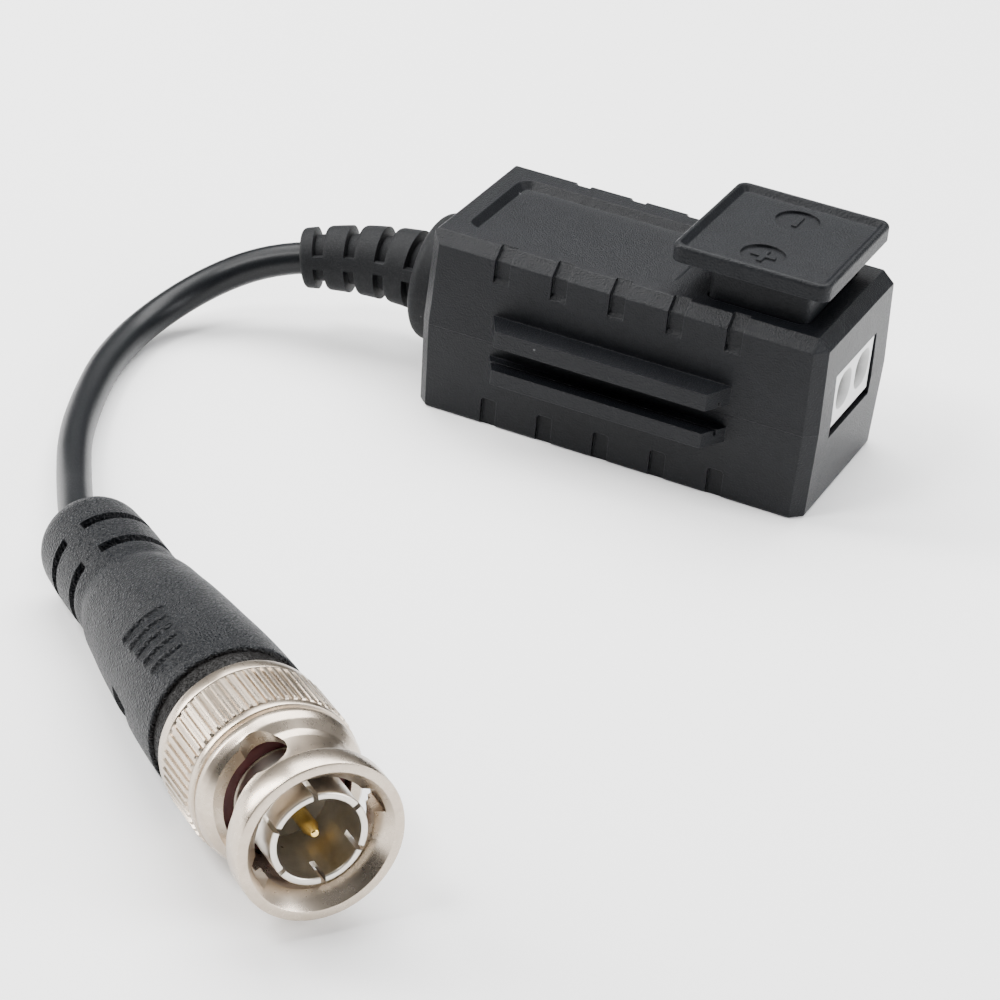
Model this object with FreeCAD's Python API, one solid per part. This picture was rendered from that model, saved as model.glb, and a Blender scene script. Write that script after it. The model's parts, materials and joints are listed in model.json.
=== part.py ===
import FreeCAD, Part
import math
import os

# Passive video balun with a push terminal and a coaxial pigtail that ends in a bayonet plug.
# Millimetres. Origin: centre of the housing's base. +X to the terminal end, +Z up.

Vector = FreeCAD.Vector

# housing shells
housing_length = 41.3
housing_width = 20.4
housing_height = 18.8
seam_height = 9.1
wall = 1.4
top_wall = 1.6
base_wall = 1.4
side_draft = 0.28
top_chamfer_in = 1.18
top_chamfer_down = 1.1
terminal_corner_chamfer = 1.16
cable_corner_chamfer = 1.0
base_edge_radius = 0.35
cable_edge_radius = 0.4
fit_clearance = 0.05
lip_height = 0.8
lip_thickness = 0.6
snap_length = 3.0
snap_height = 0.35
snap_depth = 0.2
snap_centres = [-12.0, 5.5]

# notches along the long edges
notch_count = 5
notch_pitch = 6.0
notch_centre_x = -0.6
notch_width = 1.63
notch_depth = 0.45
notch_ramp_top = 15.9
notch_ramp_bottom = 14.9
low_notch_height = 2.9
low_notch_depth = 0.3

# label recess in the top
label_start_x = 2.35 - housing_length / 2
label_end_x = housing_length / 2 - 17.15
label_half_width = 6.47
label_corner_radius = 1.44
label_depth = 0.72

# side rails that join two units
rail_start_x = 7.71 - housing_length / 2
rail_end_x = housing_length / 2 - 8.75
rail_reach = 2.6
rail_end_slant = 1.44
upper_rail_bottom = 10.16
upper_rail_top = 12.05
lower_rail_bottom = 6.18
lower_rail_top = 7.73
rail_groove_width = 0.32
rail_groove_depth = 0.55
rail_groove_offset = 0.96
rail_top_slope = 0.2
tongue_clearance = 0.12

# push button
button_start_x = housing_length / 2 - 17.1
button_end_x = housing_length / 2 - 1.29
button_half_width = 8.72
button_top = 24.0
button_thickness = 1.68
button_corner_radius = 1.15
button_edge_radius = 0.4
pan_start_x = button_start_x + 0.45
pan_end_x = button_end_x - 0.51
pan_half_width = 8.15
pan_depth = 0.58
disc_centre_x = button_start_x + 7.71
disc_offset_y = 4.48
disc_radius = 2.16
disc_depth = 0.29
glyph_height = 0.2
glyph_stroke = 0.53
minus_length = 2.3
plus_length = 2.5
plinth_start_x = button_start_x + 3.55
plinth_end_x = button_end_x - 2.11
plinth_half_width = 7.0
plinth_corner_radius = 0.95
plinth_wall = 1.0
plinth_clearance = 0.15
retainer_reach = 0.55
retainer_height = 0.55
retainer_gap = 0.3
button_travel = 2.9
leg_length_x = 2.8
leg_width = 2.3
leg_spring_gap = 0.3

# terminal block and its parts
way_pitch = 4.9
way_centre_y = 0.0
block_centre_y = -0.3
block_start_x = housing_length / 2 - 12.75
block_half_width = 5.95
block_top = 13.3
nose_half_width = 5.25
nose_bottom = 8.0
nose_top = 13.75
nose_recess = 0.25
window_start_y = -5.66
window_end_y = 5.27
window_bottom = 7.24
window_top = 13.85
chamber_start_x = block_start_x + 1.0
chamber_end_x = block_start_x + 9.7
chamber_half_width = 1.95
chamber_bottom = 6.5
chamber_top = 12.4
entry_width = 3.8
entry_bottom = 9.2
entry_top = 13.1
entry_corner_radius = 1.5
wire_bore_radius = 1.15
wire_bore_height = 11.0
funnel_depth = 1.7
spring_thickness = 0.3
spring_width = 3.2
spring_top = 11.9
spring_window_width = 2.6
leg_centre_x = block_start_x + 4.1
bar_thickness = 0.5
bar_width = 2.2
bar_bottom = 7.75
bar_start_x = block_start_x + 2.5
pin_side = 0.8
pin_drop = 1.0

# circuit board and what it carries
board_start_x = 3.45 - housing_length / 2
board_end_x = housing_length / 2 - 2.15
board_half_width = 7.9
board_bottom = 4.6
board_thickness = 1.0
post_radius = 1.3
peg_radius = 0.55
peg_height = 0.35
post_x_front = block_start_x - 2.5
post_x_rear = board_start_x + 2.6
post_offset_y = 6.3
core_centre_x = -5.6
core_outer_radius = 4.4
core_inner_radius = 2.1
core_height = 3.4
wire_radius = 0.22
turns_per_winding = 6

# housing boot
boot_centre_z = 9.06
boot_flange_radius = 6.5
boot_flange_length = 3.6
boot_flange_edge = 1.4
boot_neck_radius = 4.0
boot_inner_flange_radius = 5.2
boot_inner_flange_length = 1.2
boot_root_radius = 4.1
boot_tip_radius = 3.02
boot_core_root_radius = 3.05
boot_core_tip_radius = 2.25
boot_axis_length = 13.6
boot_bend = 21.7
boot_bend_roll = 30.0
boot_slot_pitch = 3.48
boot_slot_width = 1.05
boot_slot_from_tip = 2.0
boot_slot_count = 4
boot_web_half_width = 0.75
boot_web_roll = 14.0

# coaxial cable
cable_diameter = 3.25
dielectric_radius = 0.95
conductor_radius = 0.25
braid_radius = 0.33
lead_end_x = 4.25 - housing_length / 2
cable_lead_out = 3.65
cable_run_in = 5.8
cable_points = [
    Vector(-46.04, -6.58, 4.37),
    Vector(-49.18, -13.41, 1.75),
    Vector(-48.09, -22.65, 1.68),
    Vector(-45.36, -30.91, 1.73),
    Vector(-41.95, -38.68, 2.47),
    Vector(-37.83, -44.89, 2.35),
]

# plug: distances run along its axis from the mouth to the tail
mouth_centre = Vector(11.5, -90.35, 8.42)
plug_axis = Vector(-0.7730, 0.6304, -0.0706)
sleeve_start = 0.5
sleeve_radius = 4.05
sleeve_bore = 3.45
slit_count = 6
slit_width = 0.42
slit_end = 5.5
slit_roll = 23.0
front_boss_start = 8.6
front_boss_radius = 5.2
collar_start = 9.3
collar_end = 10.9
collar_radius = 5.9
barrel_radius = 4.8
barrel_end = 20.6
stem_radius = 2.3
stem_end = 27.0
stem_bore = 1.15
insulator_start = 7.0
insulator_end = 15.5
pin_radius = 0.675
pin_seat_radius = 1.0
pin_start = 1.3
pin_end = 15.5
gasket_start = 7.6
gasket_seat_radius = 4.15
ferrule_start = 21.0
ferrule_end = 28.5
ferrule_wall = 0.55

# coupling nut
nut_end = 18.6
nut_bore = 4.9
nut_face_inner = 5.65
nut_mouth_chamfer = 1.8
nut_relief_start = 3.0
nut_relief_radius = 5.35
flange_radius = 6.92
flange_end = 2.5
neck_radius = 5.95
neck_end = 6.1
shoulder_end = 8.5
shoulder_radius = 6.95
band_groove_start = 8.75
band_groove_end = 9.05
band_groove_depth = 0.22
knurl_start = 9.9
knurl_end = 16.8
knurl_radius = 7.25
knurl_root = 7.0
knurl_count = 60
rim_radius = 7.1
running_gap = 0.05
washer_thickness = 0.5
spring_room = 2.05
nut_float = 0.6
lug_groove_radius = 5.62
lug_groove_width = 2.5
lug_groove_end = 4.6
slot_width = 3.05
slot_start_roll = -26.0
slot_end_roll = 62.0
slot_start_s = 4.9
slot_peak_s = 5.6
slot_end_s = 5.6
slot_end_radius = 1.95

# plug boot
plug_boot_start = 18.8
plug_boot_end = 53.0
plug_boot_band_end = 20.5
plug_boot_band_radius = 6.5
boot_profile = [
    (20.75, 6.93), (22.0, 6.88), (25.0, 6.72), (28.0, 6.48), (31.0, 6.25),
    (34.0, 5.98), (37.0, 5.6), (39.5, 5.28),
]
band_profile = [(41.0, 5.02), (44.5, 4.95), (48.0, 4.93), (50.6, 4.8)]
tail_radius = 3.7
web_roll = 49.0
web_half_angle = 12.5
flex_slot_positions = [43.0, 47.5]
flex_slot_width = 1.0
flex_slot_core = 3.2
ridge_first = 23.0
ridge_pitch = 1.56
ridge_width = 0.6
ridge_rise = 0.2
ridge_half_angles = [17.0, 18.0, 19.5, 21.0, 22.0]


def box(x0, x1, y0, y1, z0, z1):
    return Part.makeBox(x1 - x0, y1 - y0, z1 - z0, Vector(x0, y0, z0))


def cylinder(radius, start, end):
    return Part.makeCylinder(radius, end.sub(start).Length, start, end.sub(start))


def face(points):
    return Part.Face(Part.makePolygon(points + [points[0]]))


def yz_prism(points, x0, x1):
    return face([Vector(x0, y, z) for y, z in points]).extrude(Vector(x1 - x0, 0, 0))


def xz_prism(points, y0, y1):
    return face([Vector(x, y0, z) for x, z in points]).extrude(Vector(0, y1 - y0, 0))


def xy_prism(points, z0, z1):
    return face([Vector(x, y, z0) for x, y in points]).extrude(Vector(0, 0, z1 - z0))


def rounded_rectangle(x0, x1, y0, y1, z, radius):
    quarter = radius * (1 - math.sqrt(0.5))
    lines = [
        (Vector(x0 + radius, y0, z), Vector(x1 - radius, y0, z)),
        (Vector(x1, y0 + radius, z), Vector(x1, y1 - radius, z)),
        (Vector(x1 - radius, y1, z), Vector(x0 + radius, y1, z)),
        (Vector(x0, y1 - radius, z), Vector(x0, y0 + radius, z)),
    ]
    middles = [
        Vector(x1 - quarter, y0 + quarter, z),
        Vector(x1 - quarter, y1 - quarter, z),
        Vector(x0 + quarter, y1 - quarter, z),
        Vector(x0 + quarter, y0 + quarter, z),
    ]
    edges = []
    for index, (start, end) in enumerate(lines):
        following = lines[(index + 1) % 4][0]
        edges.append(Part.makeLine(start, end))
        edges.append(Part.Arc(end, middles[index], following).toShape())
    return Part.Wire(edges)


def rounded_prism(x0, x1, y0, y1, z0, z1, radius):
    outline = rounded_rectangle(x0, x1, y0, y1, z0, radius)
    return Part.Face(outline).extrude(Vector(0, 0, z1 - z0))


def pan(x0, x1, y0, y1, top, depth, radius):
    mouth = rounded_rectangle(x0 - 0.1, x1 + 0.1, y0 - 0.1, y1 + 0.1, top + 0.1, radius + 0.1)
    inner = max(radius - depth, 0.2)
    floor = rounded_rectangle(x0 + depth, x1 - depth, y0 + depth, y1 - depth, top - depth, inner)
    return Part.makeLoft([mouth, floor], True, True)


def trim(shape, point, normal):
    block = Part.makeBox(120, 120, 60, Vector(-60, -60, 0))
    block.Placement = FreeCAD.Placement(point, FreeCAD.Rotation(Vector(0, 0, 1), normal))
    return shape.cut(block)


def edges_along(shape, direction, test):
    found = []
    for edge in shape.Edges:
        if len(edge.Vertexes) != 2:
            continue
        run = edge.Vertexes[1].Point.sub(edge.Vertexes[0].Point)
        if run.Length > 1e-6 and abs(abs(run.normalize().dot(direction)) - 1) < 1e-3:
            if test(edge.CenterOfMass):
                found.append(edge)
    return found


def tangent_path(points, share=0.45):
    edges = []
    radii = []
    start = points[0]
    for index in range(1, len(points) - 1):
        back = points[index - 1].sub(points[index])
        ahead = points[index + 1].sub(points[index])
        reach = share * min(back.Length, ahead.Length)
        turn = math.pi - back.getAngle(ahead)
        radius = reach / math.tan(turn / 2)
        radii.append(radius)
        back.normalize()
        ahead.normalize()
        entry = points[index] + back * reach
        leave = points[index] + ahead * reach
        inward = (back + ahead).normalize()
        centre_distance = math.hypot(reach, radius)
        middle = points[index] + inward * (centre_distance - radius)
        edges.append(Part.LineSegment(start, entry).toShape())
        edges.append(Part.Arc(entry, middle, leave).toShape())
        start = leave
    edges.append(Part.LineSegment(start, points[-1]).toShape())
    return Part.Wire(edges), radii


def tube(path, radius):
    first = path.OrderedEdges[0]
    start = first.valueAt(first.FirstParameter)
    direction = first.tangentAt(first.FirstParameter)
    section = Part.Wire(Part.makeCircle(radius, start, direction))
    return path.makePipeShell([section], True, False)


def octagon(z, inset):
    x = housing_length / 2 - inset
    y = housing_width / 2 - inset
    front = terminal_corner_chamfer
    rear = cable_corner_chamfer
    corners = [
        (-x + rear, -y), (x - front, -y), (x, -y + front), (x, y - front),
        (x - front, y), (-x + rear, y), (-x, y - rear), (-x, -y + rear),
    ]
    points = [Vector(cx, cy, z) for cx, cy in corners]
    return Part.makePolygon(points + [points[0]])


def at_cable_end_top(centre):
    return centre.x < 0 and centre.z > housing_height - 0.01


def outer_form():
    lower = Part.makeLoft([octagon(0, side_draft), octagon(seam_height, 0)], True, True)
    bottom = [edge for edge in lower.Edges if edge.BoundBox.ZMax < 0.01]
    lower = lower.makeFillet(base_edge_radius, bottom)
    upper = Part.makeLoft([octagon(seam_height, 0), octagon(housing_height, side_draft)], True, True)
    body = lower.fuse(upper).removeSplitter()
    body = body.makeFillet(cable_edge_radius, edges_along(body, Vector(0, 1, 0), at_cable_end_top))
    x = housing_length / 2 - side_draft
    y = housing_width / 2 - side_draft
    low = housing_height - top_chamfer_down
    for side in (-1, 1):
        normal = Vector(0, side * top_chamfer_down, top_chamfer_in)
        body = trim(body, Vector(0, side * y, low), normal)
    body = trim(body, Vector(x, 0, low), Vector(top_chamfer_down, 0, top_chamfer_in))
    for side in (-1, 1):
        along = Vector(x - terminal_corner_chamfer, side * y, low)
        across = Vector(x, side * (y - terminal_corner_chamfer), low)
        apex = Vector(x - top_chamfer_in, side * (y - top_chamfer_in), housing_height)
        normal = across.sub(along).cross(apex.sub(along))
        if normal.x < 0:
            normal = normal * -1
        body = trim(body, along, normal)
    return body


def cavity_form():
    x = housing_length / 2 - wall
    y = housing_width / 2 - wall
    top = housing_height - top_wall
    cut = top_chamfer_in * 0.6
    outline = [(-y, base_wall), (y, base_wall), (y, top - cut), (y - cut, top), (cut - y, top), (-y, top - cut)]
    form = yz_prism(outline, -x, x)
    return form.common(xz_prism([(-x, base_wall), (x, base_wall), (x, top - cut), (x - cut, top), (-x, top)], -y, y))


def seam_ring(outer_offset, z0, z1):
    x = housing_length / 2 - wall
    y = housing_width / 2 - wall
    outer = rounded_prism(-x - outer_offset, x + outer_offset, -y - outer_offset, y + outer_offset, z0, z1, 0.6)
    return outer.cut(box(-x, x, -y, y, z0, z1))


def snap_boxes(grow):
    reach = housing_width / 2 - wall + lip_thickness
    low = seam_height + lip_height / 2 - snap_height / 2 - grow
    high = seam_height + lip_height / 2 + snap_height / 2 + grow
    boxes = []
    for centre in snap_centres:
        for side in (-1, 1):
            inner = side * (reach - 0.2)
            outer = side * (reach + snap_depth + grow)
            half = snap_length / 2 + grow
            boxes.append(box(centre - half, centre + half, min(inner, outer), max(inner, outer), low, high))
    return boxes


def rail_ends(reach_sign):
    wall_y = reach_sign * housing_width / 2
    far_y = reach_sign * (housing_width / 2 + rail_reach + 1)
    slope = rail_end_slant * (rail_reach + 1) / rail_reach
    before = [(rail_start_x - 5, wall_y), (rail_start_x, wall_y), (rail_start_x + slope, far_y), (rail_start_x - 5, far_y)]
    after = [(rail_end_x + 5, wall_y), (rail_end_x, wall_y), (rail_end_x - slope, far_y), (rail_end_x + 5, far_y)]
    low = lower_rail_bottom - 1
    high = upper_rail_top + 1
    return [xy_prism(before, low, high), xy_prism(after, low, high)]


def near_rail(bottom, top, groove_at_top, slope_at_top):
    root = -(housing_width / 2 - wall / 2)
    wall_y = -housing_width / 2
    outer = wall_y - rail_reach
    top_outer = top - slope_at_top
    body = yz_prism([(root, bottom), (root, top), (wall_y, top), (outer, top_outer), (outer, bottom)], rail_start_x, rail_end_x)
    start = wall_y - rail_groove_offset
    if groove_at_top:
        z0 = top - rail_groove_depth
        z1 = top + 0.1
    else:
        z0 = bottom - 0.1
        z1 = bottom + rail_groove_depth
    body = body.cut(box(rail_start_x, rail_end_x, start - rail_groove_width, start, z0, z1))
    for end in rail_ends(-1):
        body = body.cut(end)
    return body


def far_tongue(upper_half):
    root = housing_width / 2 - wall / 2
    wall_y = housing_width / 2
    outer = wall_y + rail_reach - tongue_clearance
    low = lower_rail_top + tongue_clearance
    high = upper_rail_bottom - tongue_clearance
    ridge_inner = wall_y + rail_groove_offset + tongue_clearance / 2
    ridge_outer = ridge_inner + rail_groove_width - tongue_clearance
    reach = rail_groove_depth - tongue_clearance
    if upper_half:
        z0 = seam_height
        z1 = high
        ridge = box(rail_start_x, rail_end_x, ridge_inner, ridge_outer, z1 - 0.2, z1 + reach)
    else:
        z0 = low
        z1 = seam_height
        ridge = box(rail_start_x, rail_end_x, ridge_inner, ridge_outer, z0 - reach, z0 + 0.2)
    body = box(rail_start_x, rail_end_x, root, outer, z0, z1).fuse(ridge)
    for end in rail_ends(1):
        body = body.cut(end)
    return body


def notch_centres():
    first = notch_centre_x - notch_pitch * (notch_count - 1) / 2
    return [first + notch_pitch * index for index in range(notch_count)]


def top_notch(centre, side):
    y = housing_width / 2 - side_draft
    inner = y - top_chamfer_in
    low = housing_height - top_chamfer_down
    floor_y = y - notch_depth + side_draft * 0.3
    outline = [
        (side * (inner - notch_depth), housing_height + 0.2),
        (side * (inner - notch_depth), housing_height - 0.05),
        (side * floor_y, low - notch_depth * 0.4),
        (side * floor_y, notch_ramp_top),
        (side * (y + 0.4), notch_ramp_bottom),
        (side * (y + 0.4), housing_height + 0.2),
    ]
    return yz_prism(outline, centre - notch_width / 2, centre + notch_width / 2)


def low_notch(centre, side):
    y = housing_width / 2
    inner = side * (y - side_draft - low_notch_depth)
    outer = side * (y + 0.3)
    half = notch_width / 2
    cutter = box(centre - half, centre + half, min(inner, outer), max(inner, outer), -0.2, low_notch_height)
    top_edges = edges_along(cutter, Vector(0, 1, 0), lambda c: c.z > low_notch_height - 0.01)
    return cutter.makeFillet(0.35, top_edges)


def boot_opening():
    x = housing_length / 2
    hole = boot_neck_radius + fit_clearance
    return cylinder(hole, Vector(-x - 1, 0, boot_centre_z), Vector(-x + wall + 1, 0, boot_centre_z))


def window_opening():
    x = housing_length / 2
    return box(x - wall - 0.5, x + 0.5, window_start_y, window_end_y, window_bottom, window_top)


def half_housing(upper_half):
    far = housing_length
    if upper_half:
        keep = box(-far, far, -far, far, seam_height, housing_height + 1)
    else:
        keep = box(-far, far, -far, far, -1, seam_height)
    return outer_form().cut(cavity_form()).common(keep)


def make_upper_shell():
    shell = half_housing(True)
    shell = shell.fuse(near_rail(upper_rail_bottom, upper_rail_top, False, rail_top_slope))
    shell = shell.fuse(far_tongue(True))
    shell = shell.cut(seam_ring(lip_thickness + fit_clearance, seam_height - 0.1, seam_height + lip_height + fit_clearance))
    for centre in notch_centres():
        for side in (-1, 1):
            shell = shell.cut(top_notch(centre, side))
    shell = shell.cut(pan(label_start_x, label_end_x, -label_half_width, label_half_width,
                          housing_height, label_depth, label_corner_radius))
    gap = plinth_clearance
    well = rounded_prism(plinth_start_x - gap, plinth_end_x + gap, -plinth_half_width - gap,
                         plinth_half_width + gap, housing_height - top_wall - 1, housing_height + 1,
                         plinth_corner_radius + gap)
    shell = shell.cut(well)
    for pocket in snap_boxes(fit_clearance):
        shell = shell.cut(pocket)
    shell = shell.cut(boot_opening()).cut(window_opening())
    return shell.removeSplitter()


def make_lower_shell():
    shell = half_housing(False)
    shell = shell.fuse(near_rail(lower_rail_bottom, lower_rail_top, True, 0))
    shell = shell.fuse(far_tongue(False))
    shell = shell.fuse(seam_ring(lip_thickness, seam_height - 0.5, seam_height + lip_height))
    for nib in snap_boxes(0):
        shell = shell.fuse(nib)
    for x in (post_x_rear, post_x_front):
        for side in (-1, 1):
            foot = Vector(x, side * post_offset_y, base_wall - 0.3)
            shoulder = Vector(x, side * post_offset_y, board_bottom)
            tip = Vector(x, side * post_offset_y, board_bottom + board_thickness + peg_height)
            shell = shell.fuse(cylinder(post_radius, foot, shoulder)).fuse(cylinder(peg_radius, foot, tip))
    for centre in notch_centres():
        for side in (-1, 1):
            shell = shell.cut(low_notch(centre, side))
    shell = shell.cut(boot_opening()).cut(window_opening())
    return shell.removeSplitter()


def way_centres():
    return [way_centre_y - way_pitch / 2, way_centre_y + way_pitch / 2]


def make_push_button():
    low = button_top - button_thickness
    plate = rounded_prism(button_start_x, button_end_x, -button_half_width, button_half_width,
                          low, button_top, button_corner_radius)
    rims = [edge for edge in plate.Edges if edge.BoundBox.ZMin > button_top - 0.01]
    plate = plate.makeFillet(button_edge_radius, rims)
    plate = plate.cut(pan(pan_start_x, pan_end_x, -pan_half_width, pan_half_width, button_top, pan_depth, 0.9))
    floor = button_top - pan_depth
    sunk = floor - disc_depth
    for side in (-1, 1):
        centre = Vector(disc_centre_x, side * disc_offset_y, sunk)
        plate = plate.cut(Part.makeCylinder(disc_radius, disc_depth + 1, centre))
    half = glyph_stroke / 2
    low_z = sunk - 0.1
    high_z = sunk + glyph_height
    x = disc_centre_x
    y = disc_offset_y
    plate = plate.fuse(box(x - half, x + half, y - minus_length / 2, y + minus_length / 2, low_z, high_z))
    plate = plate.fuse(box(x - half, x + half, -y - plus_length / 2, -y + plus_length / 2, low_z, high_z))
    plate = plate.fuse(box(x - plus_length / 2, x + plus_length / 2, -y - half, -y + half, low_z, high_z))
    ceiling = housing_height - top_wall
    skirt_bottom = ceiling - retainer_gap - retainer_height
    skirt = rounded_prism(plinth_start_x, plinth_end_x, -plinth_half_width, plinth_half_width,
                          skirt_bottom, low + 0.2, plinth_corner_radius)
    hollow = box(plinth_start_x + plinth_wall, plinth_end_x - plinth_wall, -plinth_half_width + plinth_wall,
                 plinth_half_width - plinth_wall, skirt_bottom - 1, low - 0.6)
    button = plate.fuse(skirt).cut(hollow)
    for side in (-1, 1):
        inner = side * (plinth_half_width - 0.3)
        outer = side * (plinth_half_width + retainer_reach)
        lip = box(plinth_start_x + 2, plinth_end_x - 2, min(inner, outer), max(inner, outer),
                  skirt_bottom, skirt_bottom + retainer_height)
        button = button.fuse(lip)
    tip = spring_top + leg_spring_gap
    for centre in way_centres():
        leg = box(leg_centre_x - leg_length_x / 2, leg_centre_x + leg_length_x / 2,
                  centre - leg_width / 2, centre + leg_width / 2, tip, low)
        leg = leg.makeFillet(0.4, edges_along(leg, Vector(0, 1, 0), lambda c: c.z < tip + 0.01))
        button = button.fuse(leg)
    return button.removeSplitter()


def block_front():
    return housing_length / 2 - nose_recess


def entry_cut(centre):
    front = block_front()
    half = entry_width / 2
    wide = rounded_rectangle(-entry_top, -entry_bottom, centre - half, centre + half, 0, entry_corner_radius)
    turn = FreeCAD.Placement(Vector(front + 0.01, 0, 0), FreeCAD.Rotation(Vector(0, 1, 0), 90))
    wide.Placement = turn
    neck = Part.Wire(Part.makeCircle(wire_bore_radius, Vector(front - funnel_depth, centre, wire_bore_height), Vector(1, 0, 0)))
    funnel = Part.makeLoft([wide, neck], True, False)
    bore = cylinder(wire_bore_radius, Vector(chamber_end_x - 0.5, centre, wire_bore_height),
                    Vector(front - funnel_depth + 0.05, centre, wire_bore_height))
    return funnel, bore


def make_terminal_block():
    base = board_bottom + board_thickness
    inner_wall = housing_length / 2 - wall
    back = inner_wall - fit_clearance * 2
    body = box(block_start_x, back, block_centre_y - block_half_width, block_centre_y + block_half_width, base, block_top)
    nose = box(back - 1, block_front(), block_centre_y - nose_half_width, block_centre_y + nose_half_width,
               nose_bottom, nose_top)
    block = body.fuse(nose)
    for centre in way_centres():
        block = block.cut(box(chamber_start_x, chamber_end_x, centre - chamber_half_width,
                              centre + chamber_half_width, chamber_bottom, chamber_top))
        room = 0.3
        block = block.cut(box(leg_centre_x - leg_length_x / 2 - room, leg_centre_x + leg_length_x / 2 + room,
                              centre - leg_width / 2 - room, centre + leg_width / 2 + room,
                              chamber_top - 0.5, block_top + 0.5))
        funnel, bore = entry_cut(centre)
        block = block.cut(funnel).cut(bore)
        pin_x = chamber_end_x - pin_side - 0.1
        grow = fit_clearance
        block = block.cut(box(pin_x - grow, pin_x + pin_side + grow, centre - pin_side / 2 - grow,
                              centre + pin_side / 2 + grow, base - 0.5, chamber_bottom + 0.5))
    return block.removeSplitter()


def strip(points, thickness, y0, y1):
    left = []
    right = []
    count = len(points)
    for index, (x, z) in enumerate(points):
        before = points[max(index - 1, 0)]
        after = points[min(index + 1, count - 1)]
        a = Vector(x - before[0], 0, z - before[1])
        b = Vector(after[0] - x, 0, after[1] - z)
        if a.Length == 0:
            a = b
        if b.Length == 0:
            b = a
        a.normalize()
        b.normalize()
        bisector = Vector(-a.z - b.z, 0, a.x + b.x).normalize()
        reach = thickness / 2 / max(bisector.dot(Vector(-a.z, 0, a.x)), 0.4)
        left.append((x + bisector.x * reach, z + bisector.z * reach))
        right.append((x - bisector.x * reach, z - bisector.z * reach))
    return xz_prism(left + right[::-1], y0, y1)


def make_clamp_spring(centre):
    half = spring_thickness / 2
    floor = chamber_bottom + half + fit_clearance
    top = spring_top - half
    front = chamber_end_x - 1.2
    points = [
        (front - 0.6, floor), (chamber_start_x + 1.4, floor), (chamber_start_x + 0.5, floor + 0.7),
        (chamber_start_x + 0.35, floor + 1.9), (chamber_start_x + 0.9, floor + 3.0),
        (leg_centre_x, top), (front - 0.5, top), (front, top - 0.5), (front, floor + 0.35),
    ]
    leaf = strip(points, spring_thickness, centre - spring_width / 2, centre + spring_width / 2)
    gap = spring_window_width / 2
    window = box(front - 0.6, front + 0.6, centre - gap, centre + gap, bar_bottom - 0.15, top - 0.9)
    return leaf.cut(window)


def make_contact_bar(centre):
    pin_x = chamber_end_x - pin_side - 0.1
    half = bar_width / 2
    bar = box(bar_start_x, pin_x + pin_side, centre - half, centre + half, bar_bottom, bar_bottom + bar_thickness)
    pin = box(pin_x, pin_x + pin_side, centre - pin_side / 2, centre + pin_side / 2,
              board_bottom - pin_drop, bar_bottom + 0.1)
    return bar.fuse(pin).removeSplitter()


def make_circuit_board():
    top = board_bottom + board_thickness
    board = box(board_start_x, board_end_x, -board_half_width, board_half_width, board_bottom, top)
    for x in (post_x_rear, post_x_front):
        for side in (-1, 1):
            foot = Vector(x, side * post_offset_y, board_bottom - 0.5)
            board = board.cut(cylinder(peg_radius + fit_clearance, foot, foot + Vector(0, 0, 3)))
    pin_x = chamber_end_x - pin_side - 0.1
    grow = fit_clearance
    for centre in way_centres():
        board = board.cut(box(pin_x - grow, pin_x + pin_side + grow, centre - pin_side / 2 - grow,
                              centre + pin_side / 2 + grow, board_bottom - 0.5, top + 0.5))
    return board


def core_base():
    return board_bottom + board_thickness + 2 * wire_radius + fit_clearance


def make_balun_core():
    base = Vector(core_centre_x, 0, core_base())
    ring = Part.makeCylinder(core_outer_radius, core_height, base)
    ring = ring.cut(Part.makeCylinder(core_inner_radius, core_height, base))
    edges = [edge for edge in ring.Edges if edge.BoundBox.ZLength < 0.01]
    return ring.makeFillet(0.4, edges)


def make_winding(middle_angle):
    low = core_base() - 2 * wire_radius
    high = core_base() + core_height + 2 * wire_radius
    inner = core_inner_radius - 2 * wire_radius
    outer = core_outer_radius + 2 * wire_radius
    step = 22.0
    pieces = []
    for index in range(turns_per_winding):
        angle = middle_angle + (index - (turns_per_winding - 1) / 2) * step
        loop = box(inner, outer, -wire_radius, wire_radius, low, high)
        window = box(core_inner_radius - 0.02, core_outer_radius + 0.02, -1, 1, core_base() - 0.02,
                     core_base() + core_height + 0.02)
        pieces.append(roll(loop.cut(window), angle))
        if index < turns_per_winding - 1:
            run = 2 * outer * math.sin(math.radians(step / 2))
            link = box(outer - 2 * wire_radius, outer, -run / 2, run / 2, low, low + 2 * wire_radius)
            pieces.append(roll(link, angle + step / 2))
    winding = pieces[0].multiFuse(pieces[1:])
    winding.translate(Vector(core_centre_x, 0, 0))
    return winding


def make_surge_protector():
    top = board_bottom + board_thickness
    body_end = block_start_x - 2.9
    body = box(body_end - 3.8, body_end, -1.8, 1.8, top + 0.15, top + 2.2)
    body = body.makeChamfer(0.3, edges_along(body, Vector(0, 1, 0), lambda c: c.z > top + 2))
    foot = box(body_end - 4.5, body_end + 0.7, -1.0, 1.0, top, top + 0.3)
    return body.fuse(foot).removeSplitter()


def make_chip(x, y, length, width, height):
    base = board_bottom + board_thickness
    return box(x - length / 2, x + length / 2, y - width / 2, y + width / 2, base, base + height)


def boot_frame(length):
    bend = math.radians(boot_bend)
    radius = boot_axis_length / bend
    roll = math.radians(boot_bend_roll)
    inward = Vector(0, -math.cos(roll), -math.sin(roll))
    start = Vector(-housing_length / 2 - boot_flange_length, 0, boot_centre_z)
    angle = length / radius
    place = start + Vector(-radius * math.sin(angle), 0, 0) + inward * (radius * (1 - math.cos(angle)))
    heading = Vector(-math.cos(angle), 0, 0) + inward * math.sin(angle)
    return place, heading


def boot_axis():
    points = [boot_frame(share * boot_axis_length)[0] for share in (0, 0.5, 1)]
    return Part.Wire(Part.Arc(*points).toShape())


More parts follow.
